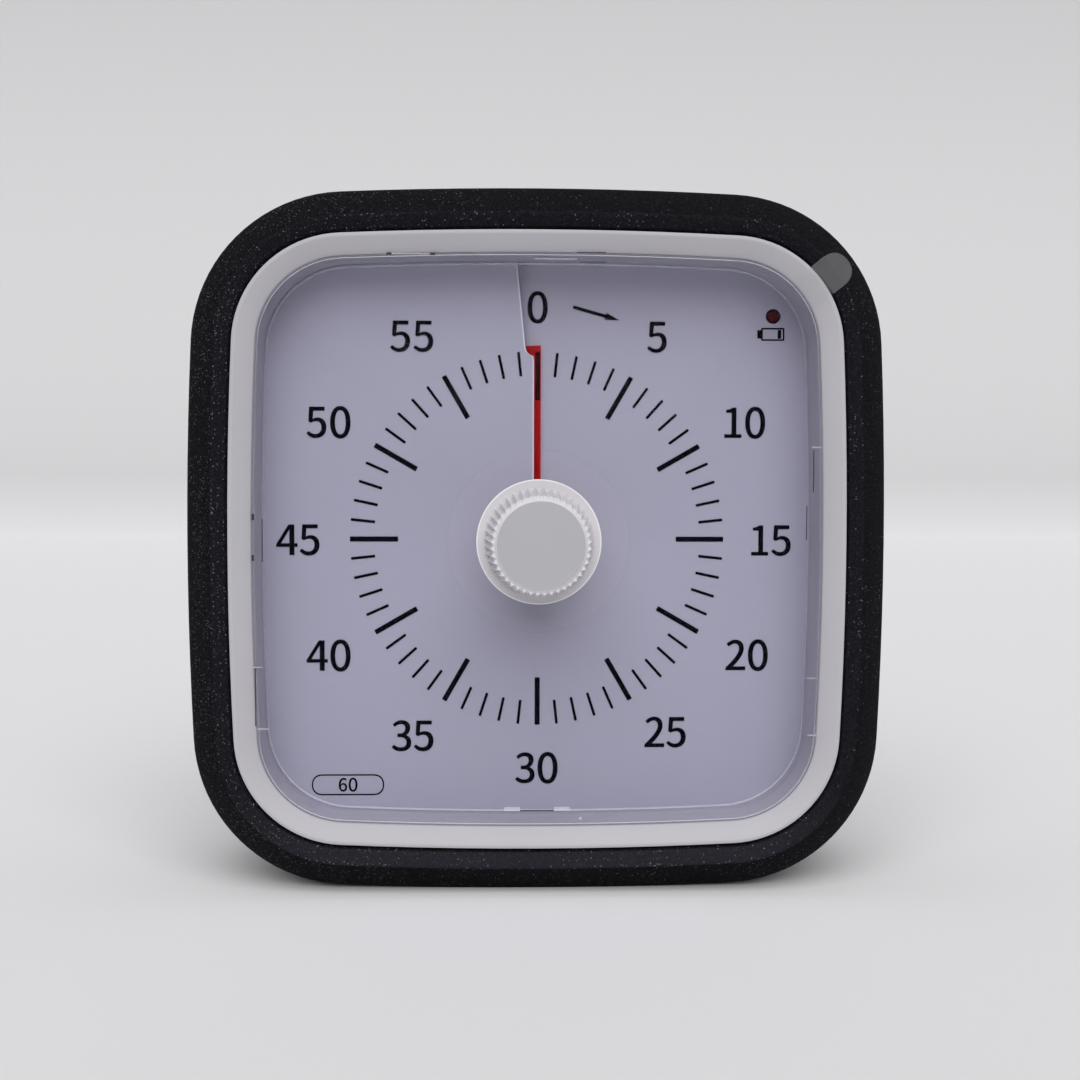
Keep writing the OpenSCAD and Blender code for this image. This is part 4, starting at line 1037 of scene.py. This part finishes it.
# outer path and holes of each digit, from the middle of its baseline
DIGITS = {
    "0": [oval(0, 2.06, 1.37, 2.19), oval(0, 2.06, 0.72, 1.62)],
    "1": [[(-1.1, 0), (1.24, 0), (1.24, 0.5), (0.54, 0.5), (0.54, 4.12), (0, 4.12),
           ((-0.25, 3.88), (-0.88, 3.8)), (-0.88, 3.41), (-0.12, 3.41), (-0.12, 0.5), (-1.1, 0.5)]],
    "2": [[(-1.33, 0), (1.39, 0), (1.39, 0.53), (-0.3, 0.53), ((1.16, 1.95), (1.16, 2.98)),
           ((1.16, 4.2), (0, 4.2)), ((-0.72, 4.2), (-1.22, 3.6)), (-0.88, 3.25),
           ((-0.5, 3.66), (-0.05, 3.66)), ((0.5, 3.66), (0.5, 2.93)), ((0.5, 2.05), (-1.33, 0.4))]],
    "3": [[(-1.34, 0.5), ((-0.9, -0.07), (-0.1, -0.07)), ((1.34, -0.07), (1.34, 1.12)),
           ((1.34, 1.95), (0.62, 2.16)), ((1.19, 2.42), (1.19, 3.2)), ((1.19, 4.2), (0, 4.2)),
           ((-0.7, 4.2), (-1.19, 3.6)), (-0.88, 3.26), ((-0.5, 3.66), (-0.02, 3.66)),
           ((0.52, 3.66), (0.52, 3.08)), ((0.52, 2.37), (-0.25, 2.37)), (-0.55, 2.37),
           (-0.55, 1.87), (-0.15, 1.87), ((0.68, 1.87), (0.68, 1.14)), ((0.68, 0.47), (-0.1, 0.47)),
           ((-0.65, 0.47), (-1.02, 0.86))]],
    "4": [[(0.3, 0), (0.97, 0), (0.97, 1.1), (1.39, 1.1), (1.39, 1.59), (0.97, 1.59), (0.97, 4.12),
           (0.18, 4.12), (-1.48, 1.45), (-1.48, 1.1), (0.3, 1.1)],
          [(-0.83, 1.59), (0.3, 1.59), (0.3, 3.4)]],
    "5": [[(-1.45, 0.58), ((-0.95, -0.07), (-0.27, -0.07)), ((1.24, -0.07), (1.24, 1.4)),
           ((1.24, 2.69), (0.03, 2.69)), ((-0.3, 2.69), (-0.6, 2.5)), (-0.51, 3.6), (1.01, 3.6),
           (1.01, 4.14), (-1.07, 4.14), (-1.18, 2.2), (-0.85, 1.98), ((-0.5, 2.2), (-0.1, 2.2)),
           ((0.56, 2.2), (0.56, 1.38)), ((0.56, 0.48), (-0.27, 0.48)),
           ((-0.75, 0.48), (-1.12, 0.88))]],
    "6": [[(1.15, 3.7), ((0.8, 4.2), (0.25, 4.2)), ((-1.32, 4.2), (-1.32, 1.95)),
           ((-1.32, -0.07), (0.05, -0.07)), ((1.28, -0.07), (1.28, 1.25)),
           ((1.28, 2.6), (0.12, 2.6)), ((-0.35, 2.6), (-0.66, 2.1)),
           ((-0.6, 3.64), (0.28, 3.64)), ((0.6, 3.64), (0.82, 3.32))],
          oval(0.02, 1.27, 0.62, 0.8)],
}


def digit(text):
    """One digit, with its middle at the origin."""
    middle = CAP_H / 2
    outer, *holes = [[(x, y - middle) for x, y in outline(path)] for path in DIGITS[text]]
    obj = ink("digit", outer)
    cut(obj, *[plate("hole", hole, -1, 1) for hole in holes])
    return obj


# where the numbers stand, in clock order from the top
NUMBER_AT = [
    (0.03, 31.26), (16.3, 27.33), (28.1, 15.8), (31.87, -0.2), (28.71, -15.9), (17.64, -26.44),
    (-0.03, -31.27), (-16.8, -26.8), (-28.1, -15.83), (-32.09, -0.16), (-27.99, 15.63),
    (-16.76, 27.16),
]
# the small 60 at the lower left, in its frame with round ends
RANGE_AT, RANGE_SIZE = (-25.6, -33.47), 0.44
RANGE_HALF_W, RANGE_HALF_H, RANGE_LINE = 4.9, 1.43, 0.18


def dial_numbers():
    """The minute numbers, and the small 60 that gives the dial's range."""
    digits = {text: digit(text) for text in DIGITS}
    prints = []
    numbers = [(str(5 * index), x, y, 1) for index, (x, y) in enumerate(NUMBER_AT)]
    for text, x, y, size in numbers + [("60", *RANGE_AT, RANGE_SIZE)]:
        for place, sign in enumerate(text):
            along = (place - (len(text) - 1) / 2) * ADVANCE * size
            prints.append(set_print(copy_of(digits[sign]), x + along, y, clock_of(x, y), size))
    pill = frame_print("range", RANGE_HALF_W, RANGE_HALF_H, RANGE_LINE, RANGE_HALF_H - 0.01)
    prints.append(set_print(pill, *RANGE_AT, clock_of(*RANGE_AT)))
    for obj in digits.values():
        bpy.data.objects.remove(obj)
    settle(join("dial_numbers", *prints), "case", INK, "dial_sheet")


ARROW_AT, ARROW_TURN, ARROW_LENGTH = (4.82, 31.33), 15.6, 6.55
BATTERY_AT, BATTERY_HALF_W, BATTERY_HALF_H = (31.95, 27.78), 1.58, 0.87


def dial_signs():
    """Arrow that says which way the knob turns, and the battery sign under the lamp."""
    shaft, barb, neck = 0.23, 0.5, ARROW_LENGTH - 1.95
    arrow = ink("arrow", [
        (0, -shaft), (neck, -shaft), (neck - 0.08, -barb), (ARROW_LENGTH, 0), (neck - 0.08, barb),
        (neck, shaft), (0, shaft)])
    set_print(arrow, *ARROW_AT, 15, turn=ARROW_TURN)
    line, cap_w, cap_h, level_w = 0.21, 0.53, 0.56, 0.48
    body = frame_print("battery", BATTERY_HALF_W, BATTERY_HALF_H, line, 0.15)
    left = -BATTERY_HALF_W
    cap = ink("cap", [(left - cap_w, -cap_h), (left, -cap_h), (left, cap_h), (left - cap_w, cap_h)])
    right, level_h = BATTERY_HALF_W - line - 0.22, BATTERY_HALF_H - line - 0.08
    level = ink("level", [(right - level_w, -level_h), (right, -level_h), (right, level_h),
                          (right - level_w, level_h)])
    for obj in (body, cap, level):
        set_print(obj, *BATTERY_AT, clock_of(*BATTERY_AT))
    settle(join("dial_signs", arrow, body, cap, level), "case", INK, "dial_sheet")


# ---------- back ----------

SLOT_OF = {part["node"]: part["material_slot"] for part in frame["record"]["subparts"]}


def softened(name, body, width):
    """Copy of a CAD node with its sharp edges rounded, which stands in for it."""
    obj = copy_of(frame["nodes"][name])
    obj.name = obj.data.name = name + "_soft"
    edit(obj)
    bpy.ops.mesh.select_all(action="SELECT")
    bpy.ops.mesh.remove_doubles(threshold=0.001 * MM)
    bpy.ops.mesh.dissolve_limited(angle_limit=math.radians(0.5))
    close(0.001 * MM)
    soften(obj, width * MM, 40)
    # settle() expects it in the dial's own frame
    obj.matrix_world = DIAL_FRAME.inverted() @ obj.matrix_world
    settle(obj, body, FINISH[SLOT_OF[name]], SLOT_OF[name], name, angle=8)


# ---------- inner nodes, camera, light and floor ----------


def finish_nodes():
    """Gives every CAD node its own material, by the record's slots."""
    for name, slot in SLOT_OF.items():
        shown = frame["nodes"][name]
        shown.data.materials.clear()
        shown.data.materials.append(FINISH[slot])


def camera():
    """Camera at the photograph's place, turn and focal length."""
    turn = (
        Matrix.Rotation(math.radians(CAM_TILT), 3, "X")
        @ Matrix.Rotation(math.radians(CAM_PAN), 3, "Y")
        @ Matrix.Rotation(math.radians(CAM_ROLL), 3, "Z")
    )
    place = -(turn.transposed() @ CAM_OFFSET)
    # the rows of turn are the camera's right, down and away, in the dial's right, down and away
    right, down, away = [Vector((row.x, row.z, -row.y)) for row in turn]
    bpy.ops.object.camera_add()
    cam = bpy.context.object
    cam.data.sensor_width = SENSOR
    cam.data.lens = FOCAL_PX / FRAME_PX * SENSOR
    cam.data.clip_start, cam.data.clip_end = 0.01, 20
    cam.matrix_world = Matrix.Translation(
        (place.x * MM, place.z * MM, (CENTRE_Z - place.y) * MM)
    ) @ Matrix((right, -down, -away)).transposed().to_4x4()
    bpy.context.scene.camera = cam


def floor():
    """Pale floor that turns up into a backdrop behind."""
    bpy.ops.object.select_all(action="DESELECT")
    bpy.ops.mesh.primitive_plane_add(size=1)
    sheet = bpy.context.object
    sheet.name = "floor"
    edit(sheet)
    bpy.ops.mesh.select_all(action="SELECT")
    scale_about_axis(FLOOR_W, FLOOR_D)
    move(y=FLOOR_BEHIND)
    pick("EDGE", lambda e: min(v.co.y for v in e.verts) > 1)
    raise_by(BACKDROP_H)
    pick("EDGE", lambda e: min(v.co.y for v in e.verts) > 1 and max(v.co.z for v in e.verts) < 0.1)
    bpy.ops.mesh.bevel(offset=BACKDROP_R, segments=16, affect="EDGES")
    done()
    smooth(sheet, 60)
    sheet.data.materials.append(backdrop_sheet())


def sky():
    """Weak even sky that lights the object, and a pale one that is seen and reflected."""
    world = bpy.context.scene.world or bpy.data.worlds.new("studio")
    bpy.context.scene.world = world
    world.use_nodes = True
    tree = world.node_tree
    tree.nodes.clear()
    up = node(tree, "SeparateXYZ", {"Vector": node(tree, "TexCoord").outputs["Generated"]})
    glow = node(tree, "MapRange", {
        "Value": up.outputs["Z"], "To Min": SKY_SIDE, "To Max": SKY_TOP,
    })
    light = node(tree, "Background", {"Color": linear("#f6f6f8"), "Strength": glow.outputs[0]})
    seen = node(tree, "Background", {"Color": linear("#dadadc")})
    ray = node(tree, "LightPath")
    straight = node(tree, "Math", {
        0: ray.outputs["Is Camera Ray"], 1: ray.outputs["Is Transmission Ray"],
    }, operation="MAXIMUM")
    shown = node(tree, "Math", {0: straight.outputs[0], 1: ray.outputs["Is Glossy Ray"]},
                 operation="MAXIMUM")
    both = node(tree, "MixShader", {0: shown.outputs[0], 1: light.outputs[0], 2: seen.outputs[0]})
    node(tree, "OutputWorld", {"Surface": both.outputs[0]})


def key_light():
    """One broad soft light from above in front."""
    bpy.ops.object.light_add(type="SUN", location=(0, -1, 1))
    key = bpy.context.object
    key.name = "soft_key"
    key.data.energy = KEY_STRENGTH
    key.data.angle = math.radians(KEY_SPREAD)
    key.rotation_mode = "QUATERNION"
    rise = math.radians(KEY_RISE)
    towards = Vector((0, math.cos(rise), -math.sin(rise)))
    key.rotation_quaternion = towards.to_track_quat("-Z", "Y")


silicone_sleeve()
front_housing()
clear_cover()
cover_edges()
protective_film()
film_tab()
knob()
dial_sheet()
slit_edge()
dial_ticks()
dial_numbers()
dial_signs()
softened("rear_housing", "case", 0.15)
softened("battery_door", "battery_door", 0.2)
finish_nodes()
camera()
floor()
sky()
key_light()
bpy.context.scene.view_settings.view_transform = "Standard"
# light has to pass film and cover on its way in and on its way out
bpy.context.scene.cycles.transparent_max_bounces = 24
